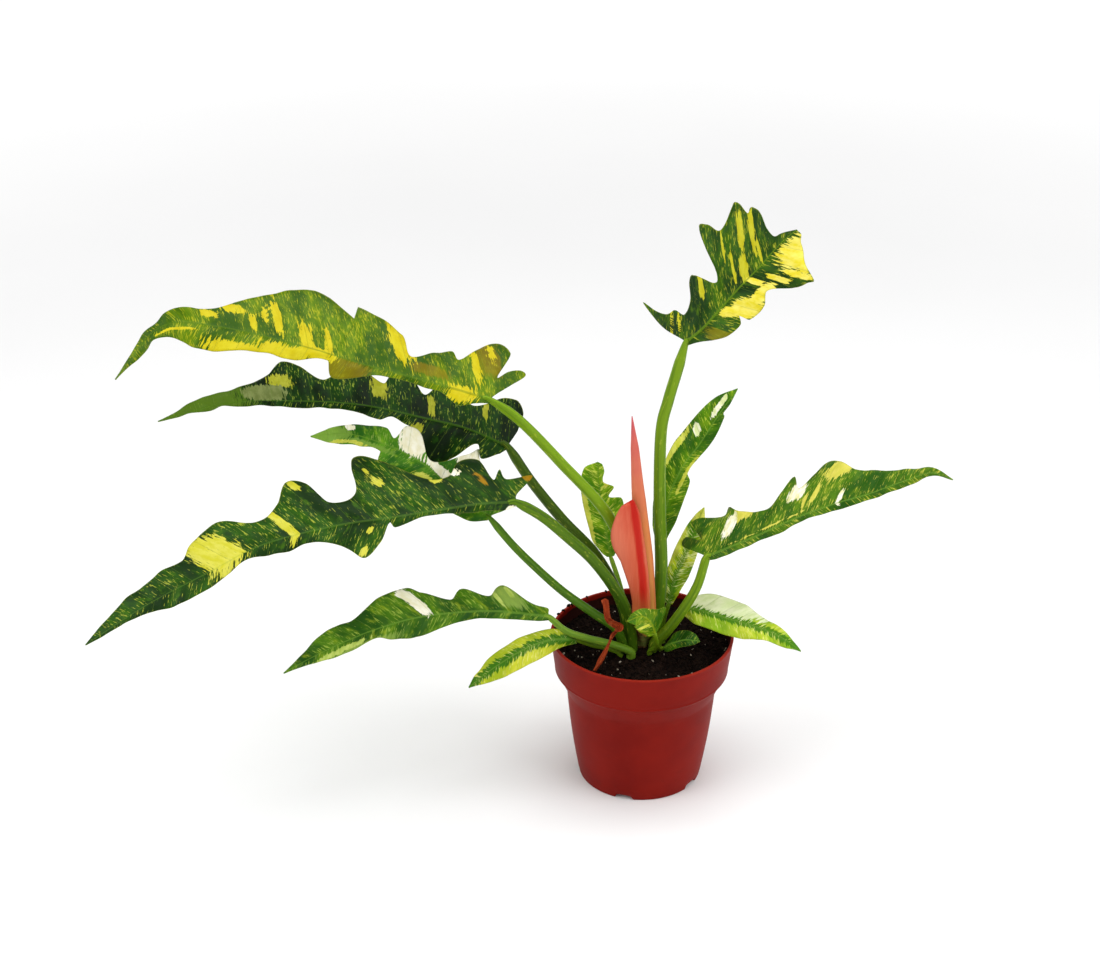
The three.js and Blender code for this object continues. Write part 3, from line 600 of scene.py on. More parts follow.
                 [-0.1, 14, 1.2, 12], [-0.04, 12, 1, 8]],
        "cream": [[0.87, -16, 16, 14], [0.57, -4, 2, 5], [0.64, -13, 2, 7], [0.7, -22, 2, 7],
                  [0.37, -12, 9, 8], [0.5, -13, 10, 4], [0.3, -5, 4, 4]],
        "stain": [[0.14, -12, 4, 10]],
        "shape": {"slant": 0.6},
        "base": [37, 5, 6],
        "stalk": [[11, 6, 30], [12, 7, 55], [10, 9, 102], [10, 10, 150], [14, 10, 172], [19, 10, 192],
                  [24, 10, 212]],
        "girth": [4.4, 3.6],
    },
    "back_right": {
        "rib": [[12, 34, 56], [17, 38, 87], [26, 42, 109], [37, 46, 124], [49, 50, 143], [61, 54, 160]],
        "side": [-0.9, 0.3, 0.3], "droop": 2, "seed": 9.0,
        "left": [[0.12, 7, -2], [0.3, 10, -1], [0.45, 12, 1], [0.6, 14, -2], [0.75, 12, 1], [0.88, 8, 2]],
        "right": [[0.06, 4, -2], [0.18, 8, -3], [0.32, 10, -1], [0.39, 9, 4], [0.43, 5, 3], [0.55, 5, 2],
                  [0.66, 6, 5], [0.76, 4, 8], [0.82, 2, 3], [0.9, 2, 1]],
        "look": {"green": (86, 134, 6), "deep": (42, 90, 2), "light": (138, 166, 22),
                 "fleck": (196, 208, 68), "cream": (214, 224, 150)},
        "cream": [[0.85, 3, 9, 1.6], [0.65, 7, 3, 3]],
        "gold": [[0.45, 11.5, 20, 2], [0.42, -4, 16, 1.2]],
        "base": [69, 8.9, 3],
        "stalk": [[9, 19, 22], [12, 27, 40], [12, 34, 56]],
        "girth": [2.4, 1.9],
    },
    "bright_small": {
        "rib": [[18, 16, 22], [22, 19, 40], [29, 22, 57], [34, 25, 72], [40, 28, 87]],
        "side": [-0.9, 0.3, 0.3], "droop": 2, "seed": 10.0,
        "left": [[0.1, 6, 1], [0.3, 7, 1], [0.5, 8, 2], [0.7, 6, 4], [0.88, 3, 3]],
        "right": [[0.1, 5, 1], [0.3, 8, 1], [0.5, 7, 3], [0.7, 6, 3], [0.88, 3, 2]],
        "look": {"green": (198, 212, 36), "deep": (94, 142, 16), "light": (238, 228, 76),
                 "fleck": (232, 234, 154), "fleckAmount": 0.85, "fleckLimit": 0.565, "heart": (62, 120, 12),
                 "heartWidth": 1.6, "heartAmount": 0.8},
        "gold": [[0.9, 0, 8, 5], [0.5, 7, 14, 2.2]],
        "base": [45, 13.4, 2.5],
        "stalk": [[15, 14, 12], [18, 16, 22]],
        "girth": [1.7, 1.5],
    },
    "right_long": {
        "rib": [[40, -8, 70], [70, -14, 88], [94, -18, 103], [116, -22, 115], [139, -26, 125],
                [162, -30, 137], [175, -33, 143], [188, -36, 140]],
        "side": [0, 0.76, 0.64], "droop": 4, "seed": 11.0,
        "left": [[0.008, 14, -16], [0.02, 20, -15], [0.03, 14, -7], [0.045, 29, -14], [0.1, 28, -11],
                 [0.155, 24, -8], [0.18, 29, -9], [0.225, 22, -9], [0.29, 15, -1], [0.34, 22, 3],
                 [0.38, 29, 6], [0.41, 19, 2], [0.46, 26, 4], [0.51, 32, 4], [0.56, 30, 3], [0.62, 20, 3],
                 [0.7, 15, 2], [0.8, 8, 4], [0.9, 4, 2]],
        "right": [[0.05, 4, -2], [0.2, 4, -3], [0.5, 4, 1], [0.85, 3, 0]],
        "look": {"green": (74, 116, 10), "deep": (34, 80, 4), "light": (130, 154, 26),
                 "fleck": (196, 194, 70), "fleckAmount": 0.75, "cream": (214, 212, 140),
                 "gold": (196, 192, 70), "goldLight": (214, 204, 90), "stain": (34, 58, 4)},
        "gold": [[0.49, 24, 9, 7], [0.1, 19, 9, 4], [0.28, 2.5, 30, 0.6], [0.43, 12, 2, 6],
                 [0.39, 10, 1.2, 6]],
        "cream": [[0.06, 15, 4, 7], [0.34, 17, 6, 5], [0.55, 3, 1.6, 5]],
        "stain": [[-0.12, 16, 9, 6], [0.02, 29, 4, 3]],
        "base": [-29, 5.3, 5],
        "stalk": [[16, -7, 15], [27, -8, 33], [35, -8, 50], [40, -8, 70]],
        "girth": [4, 3.2],
    },
    "right_low": {
        "rib": [[26, 4, 26], [37, -2, 27], [54, -10, 26], [72, -21, 26], [87, -30, 24], [100, -38, 18]],
        "side": [0, 0.8, 0.6], "droop": 3, "seed": 12.0,
        "left": [[0.05, 7, -1], [0.15, 11, -2], [0.3, 14, -2], [0.45, 13, 0], [0.6, 9, -1], [0.75, 6, 0],
                 [0.9, 3, 1]],
        "right": [[0.05, 6, 0], [0.13, 10, 2], [0.35, 11, 3], [0.5, 10, 3], [0.7, 7, 3], [0.88, 4, 2]],
        "look": {"green": (180, 200, 44), "deep": (128, 168, 22), "light": (222, 220, 90),
                 "fleck": (230, 232, 130), "heart": (52, 116, 6), "heartWidth": 1.9, "heartAmount": 0.9,
                 "cream": (206, 220, 158), "creamLight": (226, 232, 190)},
        "cream": [[0.25, 10.5, 34, 8.5]],
        "base": [12, 9.3, 3],
        "stalk": [[19, 4, 14], [26, 4, 26]],
        "girth": [1.9, 1.6],
    },
    "front_small": {
        "rib": [[7, -26, 24], [4, -28, 33], [-2, -31, 40], [-11, -36, 39]],
        "side": [-0.45, -0.45, -0.65], "droop": 2, "seed": 13.0,
        "left": [[0.12, 6, -1], [0.35, 10, 3], [0.6, 8, 4], [0.82, 3, 3]],
        "right": [[0.06, 9, 1], [0.16, 15, 3], [0.35, 13, 0], [0.6, 6, -2], [0.82, 3, -1]],
        "look": {"green": (100, 138, 6), "deep": (50, 96, 2), "light": (154, 164, 16),
                 "fleck": (186, 190, 64), "fleckAmount": 0.8, "ribColour": (144, 160, 16)},
        "gold": [[0.4, -9, 1.2, 6], [0.3, 5, 1, 5]],
        "base": [-67, 8, 3],
        "stalk": [[9, -18, 9], [7, -26, 24]],
        "girth": [1.8, 1.5],
    },
    "low_dark": {
        "rib": [[14, -19, 9], [20, -23, 15], [27, -26, 19], [36, -29, 20]],
        "side": [0.1, 0.8, 0.6], "droop": 2, "seed": 14.0,
        "left": [[0.1, 4, 0], [0.3, 7, 1], [0.6, 7, 2], [0.85, 4, 1]],
        "right": [[0.1, 4, 0], [0.3, 6, 1], [0.6, 5, 2], [0.85, 3, 1]],
        "look": {"green": (36, 84, 2), "deep": (14, 52, 0), "fleckAmount": 0.3},
        "base": [-51, 7.8, 2.5],
        "stalk": [[11, -15, 6], [14, -19, 9]],
        "girth": [1.6, 1.4],
    },
}

for place, leaf in leaves.items():
    finish = leafMaterial(f"leaf_{place}_finish", {**leaf["look"], "seed": leaf["seed"] * 5.0})
    bladeMesh(f"leaf_{place}", leaf, finish, f"leaf_{place}")
print("leaf blades made:", len(leaves))


# a geometry tree that takes a shape, the named inputs and a finish
def newTree(name, inputs):
    tree = bpy.data.node_groups.new(name, "GeometryNodeTree")
    for key, kind in {"Geometry": "Geometry", **inputs, "Finish": "Material"}.items():
        tree.interface.new_socket(key, in_out="INPUT", socket_type=f"NodeSocket{kind}")
    tree.interface.new_socket("Geometry", in_out="OUTPUT", socket_type="NodeSocketGeometry")
    maker = Maker(tree)
    return tree, maker, maker.node("NodeGroupInput")


def finishTree(g, shape, given):
    whole = g.node("GeometryNodeRealizeInstances", {}, {"Geometry": shape})[0]
    whole = g.node("GeometryNodeSetMaterial", {}, {"Geometry": whole, "Material": given["Finish"]})[0]
    g.node("NodeGroupOutput", {}, {"Geometry": whole})


# sweeps an oval ring along a route whose points carry their girth
def stalkTree():
    tree, g, given = newTree("sweepStalk", {"Sides": "Int", "Oval": "Float"})
    radius = g.node("GeometryNodeInputNamedAttribute", {"data_type": "FLOAT"}, {"Name": "girth"})["Attribute"]
    path = g.node("GeometryNodeMeshToCurve", {}, {"Mesh": given["Geometry"]})[0]
    ring = g.node("GeometryNodeCurvePrimitiveCircle", {"mode": "RADIUS"},
                  {"Resolution": given["Sides"], "Radius": 1.0})[0]
    turn = g.node("GeometryNodeSplineParameter")["Factor"]
    ring = g.node("GeometryNodeStoreNamedAttribute", {"data_type": "FLOAT", "domain": "POINT"},
                  {"Geometry": ring, "Name": "around", "Value": turn})[0]
    squeeze = g.vector(1.0, given["Oval"], 1.0)
    ring = g.node("GeometryNodeTransform", {}, {"Geometry": ring, "Scale": squeeze})[0]
    tube = g.node("GeometryNodeCurveToMesh", {},
                  {"Curve": path, "Profile Curve": ring, "Scale": radius, "Fill Caps": True})[0]
    tube = g.node("GeometryNodeSetShadeSmooth", {}, {"Geometry": tube})[0]
    finishTree(g, tube, given)
    return tree


# runs a tree on a source object and keeps the result as a plain mesh
def grown(name, source, tree, inputs, node):
    names = {item.name: item.identifier for item in tree.interface.items_tree if item.in_out == "INPUT"}
    modifier = source.modifiers.new("tree", "NODES")
    modifier.node_group = tree
    for key, value in inputs.items():
        modifier[names[key]] = value
    evaluated = source.evaluated_get(bpy.context.evaluated_depsgraph_get())
    mesh = bpy.data.meshes.new_from_object(evaluated)
    source.modifiers.clear()
    piece = bpy.data.objects.new(name, mesh)
    mesh.name = name
    bpy.context.scene.collection.objects.link(piece)
    settle(piece, node)


# a line of edges along a smooth path, whose points carry their girth and their length so far
def routeObject(name, points, radii, step=2.0):
    path = smoothPath(points)
    length = path[1][-1]
    share = np.linspace(0, 1, max(6, round(length / step)))
    places = planted(along(path, share))
    mesh = bpy.data.meshes.new(name)
    mesh.from_pydata([tuple(p) for p in places], [(i, i + 1) for i in range(len(share) - 1)], [])
    girth = np.interp(share, [r[0] for r in radii], [r[1] for r in radii]) * mm
    for key, values in (("girth", girth), ("along", share * length)):
        mesh.attributes.new(key, "FLOAT", "POINT").data.foreach_set("value", values.astype(np.float32))
    route = bpy.data.objects.new(name, mesh)
    bpy.context.scene.collection.objects.link(route)
    return route


def stalkMaterial(name, look):
    look = mergedLook(stalkLook, look)
    material, m = newMaterial(name)
    around, reach = m.attribute("around"), m.attribute("along")
    lines = m.noise(m.vector(around * 9, reach * 0.012, look["seed"]), 1.0, 3.0, 0.6)
    dashes = m.noise(m.vector(around * 14, reach * 0.12, look["seed"] + 4), 1.0, 3.0, 0.6)
    share = reach / look["length"]
    colour = m.mix(share.above(0.05, 0.95), look["base"], look["top"])
    colour = m.mix(lines.above(0.42, 0.68) * 0.6, colour, look["dark"])
    colour = m.mix(dashes.above(0.6, 0.66) * look["dashAmount"], colour, look["dash"])
    coat(m, colour, 0.33 + lines * 0.15, 0.12, lines * 0.7 + dashes * 0.3, 0.3 * mm, 0.6)
    return material


# where a stalk leaves the soil beside the crown, and its first point above it
def stalkFoot(base):
    angle = math.radians(base[0])
    reach = crownRadius + base[1]
    x, y = reach * math.cos(angle), reach * math.sin(angle)
    return [[x * 0.97, y * 0.97, -1], [x, y, base[2]]]


stalkLook = {"base": (94, 124, 18), "top": (112, 146, 20), "dark": (52, 88, 6),
             "dash": (176, 184, 60), "dashAmount": 0.4, "seed": 0.0, "length": 100.0}
stalkLooks = {
    "upper_left": {"base": (90, 118, 10), "top": (116, 150, 18), "dark": (62, 98, 6)},
    "dark": {"base": (52, 74, 6), "top": (62, 88, 10), "dark": (26, 48, 2)},
    "lower_left": {"base": (64, 96, 10), "top": (86, 120, 14), "dark": (34, 66, 4)},
    "cream_half": {"base": (64, 100, 14), "top": (84, 126, 20), "dark": (36, 74, 6)},
    "low_left": {"base": (96, 132, 30), "top": (116, 152, 44), "dark": (66, 106, 16)},
    "top": {"base": (82, 120, 14), "top": (112, 144, 20), "dark": (48, 90, 6)},
}
sweep = stalkTree()
for place, leaf in leaves.items():
    low, high = leaf["girth"]
    inside = along(smoothPath(leaf["rib"]), np.array([0.02]))[0].tolist()  # the stalk runs on into the midrib
    radii = [[0, low * 1.25], [0.12, low], [0.92, high], [1, high * 0.45]]
    route = routeObject(f"route_{place}", [*stalkFoot(leaf["base"]), *leaf["stalk"], inside], radii)
    length = 60.0 if len(leaf["stalk"]) < 6 else 180.0
    look = {**stalkLooks.get(place, {}), "seed": leaf["seed"] * 3.0, "length": length}
    inputs = {"Sides": 20, "Oval": 0.9, "Finish": stalkMaterial(f"stalk_{place}_finish", look)}
    grown(f"stalk_{place}", route, sweep, inputs, f"stalk_{place}")
    bpy.data.objects.remove(route)
print("stalks swept:", len(leaves))


pot = {"rim": 60, "height": 104, "base": 40.5, "wall": 1.3, "band": 24, "bandTaper": 3, "shoulder": 16,
       "inset": 8, "foot": 3.5, "footWidth": 3.5, "pad": 30, "notches": 5, "notchTurn": -17, "notchWidth": 12}


def potBody(z):
    top = pot["height"] - pot["band"] - pot["shoulder"]
    share = z / top
    radius = pot["rim"] - pot["bandTaper"] - pot["inset"]
    return pot["base"] + (radius - pot["base"]) * share + 0.9 * math.sin(math.pi * share)


def arc(cx, cz, radius, first, last, count):
    angles = [math.radians(first + (last - first) * k / count) for k in range(count + 1)]
    return [(cx + radius * math.cos(a), cz + radius * math.sin(a)) for a in angles]


def potProfile():
    top, step = pot["height"], pot["height"] - pot["band"]
    shoulder = step - pot["shoulder"]
    stepRadius = pot["rim"] - pot["bandTaper"]
    shoulderRadius = stepRadius - pot["inset"]
    wall, foot, inner = pot["wall"], pot["foot"], pot["base"] - pot["footWidth"]
    pad = pot["pad"]
    outside = [(0, 0), (10, 0), (20, 0), (pad - 0.8, 0), (pad, 0.6), (pad + 0.8, foot - 0.4)]
    outside += [(pad + 1.4, foot), (inner - 0.5, foot), (inner, foot - 0.5), (inner, 0.5), (inner + 0.4, 0)]
    outside += [(pot["base"] - 0.8, 0), (pot["base"] - 0.2, 0.25), (pot["base"], 0.9)]
    outside += [(potBody(shoulder * k / 16), shoulder * k / 16) for k in range(1, 16)]
    outside += [(shoulderRadius, shoulder), (shoulderRadius + 0.5, shoulder + 1.6)]
    outside += [(shoulderRadius + 0.5 + (pot["inset"] - 2) * k / 5,
                 shoulder + 1.6 + (pot["shoulder"] - 3) * k / 5) for k in range(1, 6)]
    outside += arc(stepRadius - 0.9, step - 0.2, 0.9, -50, 20, 5)
    outside += [(stepRadius - 0.15, step + 0.7), (stepRadius + 0.05, step + 1.4)]
    outside += [(stepRadius + (pot["bandTaper"] - 0.35) * k / 8,
                 step + 1.4 + (pot["band"] - 4) * k / 8) for k in range(1, 9)]
    outside += arc(pot["rim"] - 0.75, top - 0.75, 0.75, -20, 90, 6)
    inside = arc(pot["rim"] - wall - 0.2, top - 0.4, 0.4, 90, 180, 4)
    inside += [(stepRadius - wall + pot["bandTaper"] * k / 6, step + pot["band"] * k / 6)
               for k in range(5, -1, -1)]
    inside += [(shoulderRadius - wall, shoulder), (potBody(foot + wall) - wall, foot + wall)]
    inside += [(pad + 2, foot + wall), (pad, wall), (10, wall), (0, wall)]
    return outside + inside


# turns a profile that starts and ends on the axis into a closed body; warp gives each point its place
def lathe(profile, segments, warp):
    points, faces, rings = [], [], []
    for r, z in profile:
        if r < 1e-6:
            rings.append([len(points)])
            points.append((0, 0, z))
            continue
        ring = []
        for k in range(segments):
            ring.append(len(points))
            points.append(warp(r, 2 * math.pi * k / segments, z))
        rings.append(ring)
    for low, high in zip(rings[:-1], rings[1:]):
        for k in range(segments):
            a, b = low[k % len(low)], low[(k + 1) % len(low)]
            c, d = high[(k + 1) % len(high)], high[k % len(high)]
            faces.append(tuple(dict.fromkeys((a, b, c, d))))
    return points, faces


# lifts the foot ring over each notch
def notched(r, angle, z):
    inner = pot["base"] - pot["footWidth"]
    if r > inner - 0.1 and z < pot["foot"] - 0.4:
        fromFront = math.degrees(angle) + 90 - pot["notchTurn"]
        spacing = 360 / pot["notches"]
        off = abs((fromFront + spacing / 2) % spacing - spacing / 2)
        half = math.degrees(pot["notchWidth"] / 2 / pot["base"])
        lift = max(0.0, 1 - (off / half)**4) ** 0.5 if off < half else 0.0
        z = z + (pot["foot"] - 0.45 - z) * lift
    return r * math.cos(angle), r * math.sin(angle), z


def potMaterial():
    material, m = newMaterial("nursery_pot_finish")
    where = m.place()
    z = m.parts(where)[2] * 1000  # millimetres up
    cloud = m.noise(where, 22.0, 3.0, 0.6)
    grain = m.noise(where, 900.0, 2.0, 0.5)
    rub = m.grain(where, 60.0, 500.0, 4.0, 0.7)
    colour = m.mix(cloud.above(0.3, 0.7), srgb(112, 10, 2), srgb(126, 18, 6))
    colour = m.mix(rub.above(0.6, 0.8) * 0.25, colour, srgb(148, 42, 22))
    dust = m.noise(where, 120.0, 4.0, 0.65)
    low = 1 - z.above(2, 26)
    colour = m.mix(dust.above(0.55, 0.72) * (0.12 + low * 0.25), colour, srgb(74, 24, 12))
    edgeWear = z.above(pot["height"] - 1.6, pot["height"])
    colour = m.mix(edgeWear * 0.4, colour, srgb(156, 44, 26))
    # the inner wall is darkened below the lip, nearly to the soil's tone, with a ragged edge
    innerDarkening = (m.attribute("inside") + (dust - 0.5) * 0.7).above(0.35, 0.6)
    colour = m.mix(innerDarkening * 0.92, colour, srgb(26, 14, 10))
    rough = 0.42 + cloud * 0.1 + rub * 0.08
    coat(m, colour, rough, 0.08, grain * 0.35 + cloud * 0.4 + rub * 0.25, 0.2 * mm, 0.6)
    return material


potPoints, potFaces = lathe(potProfile(), 240, notched)
potPoints = np.array(potPoints)
firstInside = potPoints[:, 2].argmax()  # rings after the lip are the inner wall
# the inner wall darkens from just below the lip downwards
belowLip = np.clip((pot["height"] - 1.2 - potPoints[:, 2]) / 5, 0, 1)
innerWallDarkening = np.where(np.arange(len(potPoints)) > firstInside, belowLip, 0.0)
meshPiece("nursery_pot_shell", potPoints * mm, potFaces, potMaterial(), "nursery_pot", "pot",
          {"inside": innerWallDarkening})
print("pot turned")


soil = {"edge": potTop - 11 * mm, "radius": 57.2, "rise": 2.0, "rings": 56}


def soilMaterial(name, dark, light, grainScale):
    material, m = newMaterial(name)
    where = m.place()
    lumps = m.noise(where, grainScale, 5.0, 0.7)
    specks = m.noise(where, grainScale * 3.1, 2.0, 0.5)
    colour = m.mix(lumps.above(0.35, 0.7), dark, light)
    coat(m, colour, 0.8 + specks * 0.15, 0.05, lumps * 0.6 + specks * 0.4, 0.8 * mm, 0.9)
    return material


soilFinish = soilMaterial("potting_soil_finish", srgb(8, 5, 4), srgb(34, 22, 16), 300.0)
perliteFinish = soilMaterial("perlite_finish", srgb(110, 98, 84), srgb(186, 176, 160), 500.0)


def soilSurface(r, angle, z):
    x, y = r * math.cos(angle), r * math.sin(angle)
    if z > soil["edge"] / mm - 0.01:
        lump = noise.noise(Vector((x / 9, y / 9, 1.3))) * 1.5 + noise.noise(Vector((x / 3, y / 3, 4.1))) * 0.8
        z += lump * min(1, (soil["radius"] - r) / 4 + 0.15)
    return x, y, z


top = soil["edge"] / mm
heap = []
for k in range(soil["rings"]):
    left = 1 - k / soil["rings"]
    heap.append((soil["radius"] * left, top + soil["rise"] * (1 - left**2)))
soilBase = [(0, 1.6), (29, 1.6), (34, 5.1), (38.8, 5.2), (46.5, 62), (54.6, 79)]
soilProfile = [*soilBase, *heap, (0, top + soil["rise"])]
soilPoints, soilFaces = lathe(soilProfile, 200, soilSurface)
soilPiece = meshPiece("potting_soil_bed", np.array(soilPoints) * mm, soilFaces, soilFinish)


# scatters small rough grains over the upward faces of a surface
def grainTree():
    kinds = {"Density": "Float", "Smallest": "Float", "Largest": "Float", "Seed": "Int", "Detail": "Int"}
    tree, g, given = newTree("scatterGrains", kinds)
    seed = given["Seed"]
    upward = g.parts(g.node("GeometryNodeInputNormal")[0])[2].math("GREATER_THAN", 0.5)
    spread = {"Mesh": given["Geometry"], "Selection": upward, "Density": given["Density"], "Seed": seed}
    points = g.node("GeometryNodeDistributePointsOnFaces", {"distribute_method": "RANDOM"}, spread)[0]
    ball = g.node("GeometryNodeMeshIcoSphere", {}, {"Radius": 1.0, "Subdivisions": given["Detail"]})[0]
    spot = g.node("GeometryNodeInputPosition")[0]
    lump = g.node("ShaderNodeTexNoise", {}, {"Vector": spot, "Scale": 1.7})[0]
    swell = g.node("ShaderNodeVectorMath", {"operation": "SCALE"}, {0: spot, "Scale": (lump - 0.5) * 0.9})[0]
    ball = g.node("GeometryNodeSetPosition", {}, {"Geometry": ball, "Offset": swell})[0]
    smallest, largest = given["Smallest"], given["Largest"]
    vectors = {"data_type": "FLOAT_VECTOR"}
    sizes = {0: g.vector(smallest, smallest, smallest * 0.6), 1: g.vector(largest, largest, largest * 0.7)}
    size = g.node("FunctionNodeRandomValue", vectors, {**sizes, "Seed": seed})[0]
    turn = g.node("FunctionNodeRandomValue", vectors, {1: (6.28, 6.28, 6.28), "Seed": seed + 9})[0]
    placed = {"Points": points, "Instance": ball, "Rotation": turn, "Scale": size}
    finishTree(g, g.node("GeometryNodeInstanceOnPoints", {}, placed)[0], given)
    return tree


scatter = grainTree()


# about count grains over a surface of this area in square metres, their half sizes in mm
def scattered(name, surface, area, grains, finish):
    inputs = {"Density": grains["count"] / area, "Seed": grains["seed"], "Detail": grains["detail"],
              "Smallest": grains["smallest"] * mm, "Largest": grains["largest"] * mm, "Finish": finish}
    grown(name, surface, scatter, inputs, None)


crumbs = {"count": 4200, "smallest": 0.5, "largest": 1.7, "seed": 5, "detail": 1}
perlite = {"count": 60, "smallest": 0.4, "largest": 1.3, "seed": 7, "detail": 2}
soilArea = math.pi * (soil["radius"] * mm)**2
scattered("soil_crumbs", soilPiece, soilArea, crumbs, soilFinish)
scattered("perlite_grains", soilPiece, soilArea, perlite, perliteFinish)
settle(soilPiece, "potting_soil")

# a strip of the lip from the first to the last degree, which only carries crumbs
rimCrumbs = {"first": 95, "last": 165, "near": 58.5, "far": 59.7, "steps": 20,
             "count": 16, "smallest": 0.6, "largest": 1.9, "seed": 9, "detail": 2}
strip = []
sweepAngle = rimCrumbs["last"] - rimCrumbs["first"]
for k in range(rimCrumbs["steps"] + 1):
    turn = math.radians(rimCrumbs["first"] + sweepAngle * k / rimCrumbs["steps"])
    for r in (rimCrumbs["far"], rimCrumbs["near"]):
        strip.append((r * mm * math.cos(turn), r * mm * math.sin(turn), potTop))
stripFaces = [(2 * k, 2 * k + 2, 2 * k + 3, 2 * k + 1) for k in range(rimCrumbs["steps"])]
lipStrip = meshPiece("lip_strip", strip, stripFaces, soilFinish)
lipArea = sum(face.area for face in lipStrip.data.polygons)
scattered("rim_crumbs", lipStrip, lipArea, rimCrumbs, soilFinish)
bpy.data.objects.remove(lipStrip)
print("soil laid")


def crownMaterial():
    material, m = newMaterial("crown_finish")
    rings = m.grain(m.place(), 90.0, 420.0, 4.0, 0.6)
    colour = m.mix(rings.above(0.4, 0.62), srgb(104, 112, 52), srgb(96, 60, 34))
    coat(m, colour, 0.55 + rings * 0.2, 0.1, rings, 0.8 * mm)
    return material


def knobbly(r, angle, z):
    swell = 1 + 0.14 * math.sin(5 * angle + z * 0.5) + 0.1 * math.sin(z * 1.9)
    return r * swell * math.cos(angle), r * swell * math.sin(angle), z


crownProfile = [(0, -14), (3.5, -14), (4.6, -8), (crownRadius, -3), (4.9, 2), (4.8, 5), (4.6, 8), (4.2, 10.5),
                (3, 12.4), (1.5, 13), (0, 13)]
crownPoints, crownFaces = lathe(crownProfile, 48, knobbly)
meshPiece("crown_stub", planted(crownPoints), crownFaces, crownMaterial(), "crown_stem", "crown")


def growthMaterial(name, stops, seamColour):
    material, m = newMaterial(name)
    share = m.attribute("share")
    where = m.place()
    grain = m.grain(where, 700.0, 60.0, 3.0, 0.6)
    wobble = m.noise(where, 60.0, 2.0, 0.5)
    ramp = m.tone(stops, share + (wobble - 0.5) * 0.12)
    colour = m.mix(grain.above(0.4, 0.75) * 0.25, ramp, srgb(226, 146, 100))
    colour = m.mix(m.attribute("edge").above(0.86, 0.98) * 0.7, colour, seamColour)
    coat(m, colour, 0.36 + grain * 0.12, 0.12, grain, 0.25 * mm, 0.6)
    return material


sheathStops = [(0.0, srgb(216, 164, 78)), (0.16, srgb(204, 112, 52)), (0.35, srgb(196, 82, 50)),
               (0.7, srgb(204, 94, 66)), (1.0, srgb(196, 72, 52))]


def sheathMaterial():
    material, m = newMaterial("sheath_finish")
    y = m.bladePlace()[1]
    share = m.attribute("share")
    where = m.place()
    grain = m.grain(where, 800.0, 50.0, 3.0, 0.6)
    cloud = m.noise(where, 70.0, 3.0, 0.5)
    tone = m.tone(sheathStops, share + (cloud - 0.5) * 0.15)
    # painted light: the wide half is painted lighter pink from 4 to 15 mm out from the fold
    tone = m.mix(y.above(4, 15) * 0.55, tone, srgb(214, 124, 96))
    tone = m.mix(grain.above(0.4, 0.75) * 0.25, tone, srgb(222, 128, 96))
    offFold = (y - 0.6).math("ABSOLUTE") + (grain - 0.5) * 1.2
    fold = (1 - offFold.above(1.4, 3.6)) * share.above(0.12, 0.4)
    tone = m.mix(fold * 0.92, tone, srgb(182, 18, 8))
    tone = m.mix(m.attribute("edge").above(0.95, 0.99) * 0.4, tone, srgb(170, 60, 44))
    coat(m, tone, 0.34 + cloud * 0.15, 0.12, grain, 0.25 * mm, 0.6)
    return material


roll = {"route": [[4, -3, 10], [5, -3, 20], [1, -2, 65], [-4, -2, 108], [-7, -2, 144], [-9, -2, 167]],
        "radii": [[0, 3.6], [0.12, 4.5], [0.35, 5.4], [0.62, 4.9], [0.86, 2.9], [1, 0.35]],
        "turns": 1.45, "start": 200, "twist": 0.9, "rows": 120, "around": 64, "flat": 0.75, "thick": 0.55}


# a sheet wound round a route, from its inner edge out to the seam
def rolledLeaf(name, r, material, node, slot):
    path = smoothPath(r["route"])
    share = np.linspace(0, 1, r["rows"])
    centre = along(path, share)
    nudge = 0.01
    forward = unit(along(path, share + nudge) - along(path, share - nudge))
    x = unit(np.cross(np.tile([0.0, 1.0, 0.0], (len(share), 1)), forward))
    y = np.cross(forward, x)
    radius = np.interp(share, [q[0] for q in r["radii"]], [q[1] for q in r["radii"]])
    tops, lows, edge, shares = [], [], [], []
    for j in range(r["around"] + 1):
        t = j / r["around"]
        angle = np.radians(r["start"] + 360 * r["turns"] * t) + share * r["twist"]
        for lift, rows in ((0.0, tops), (-r["thick"], lows)):
            reach = np.maximum(radius * (0.66 + 0.34 * t) + lift * np.minimum(1, radius / 2), 0.05)
            across = y * (reach * r["flat"] * np.sin(angle))[:, None]
            rows.append(centre + x * (reach * np.cos(angle))[:, None] + across)
        edge.append(np.full(len(share), t))
        shares.append(share)
    points = planted(np.vstack([grid(tops), grid(lows)]))
    attributes = {"edge": np.tile(grid(edge).ravel(), 2), "share": np.tile(grid(shares).ravel(), 2)}
    # the first sheet is the outer one, so its faces turn round
    faces = [face[::-1] for face in shellFaces(len(share), r["around"] + 1)]
    meshPiece(name, points, faces, material, node, slot, attributes)


rollStops = [(0.0, srgb(206, 156, 70)), (0.2, srgb(206, 134, 66)), (0.5, srgb(206, 122, 66)),
             (0.75, srgb(204, 106, 84)), (1.0, srgb(192, 78, 88))]
rollFinish = growthMaterial("new_leaf_finish", rollStops, srgb(170, 44, 26))
rolledLeaf("new_leaf", roll, rollFinish, "new_leaf_roll", "new_growth")

sheath = {
    "rib": [[2, -9, 12], [2, -12, 22], [-1, -12, 64], [-7, -11, 112]],
    "side": [-1, -0.2, 0], "droop": 0, "seed": 21.0,
    "left": [[0.14, 8, 0], [0.3, 8, 0], [0.58, 13, 0], [0.7, 17, 0], [0.8, 17, 0], [0.9, 13, 0],
             [0.97, 8, 0]],
    "right": [[0.2, 4, 0], [0.6, 4, 0], [0.9, 3, 0]],
    "shape": {"quilt": 0.0, "ripple": 0.5, "ribSize": 1.6, "cup": -3.0},
}
bladeMesh("new_leaf_sheath", sheath, sheathMaterial(), "sheath")


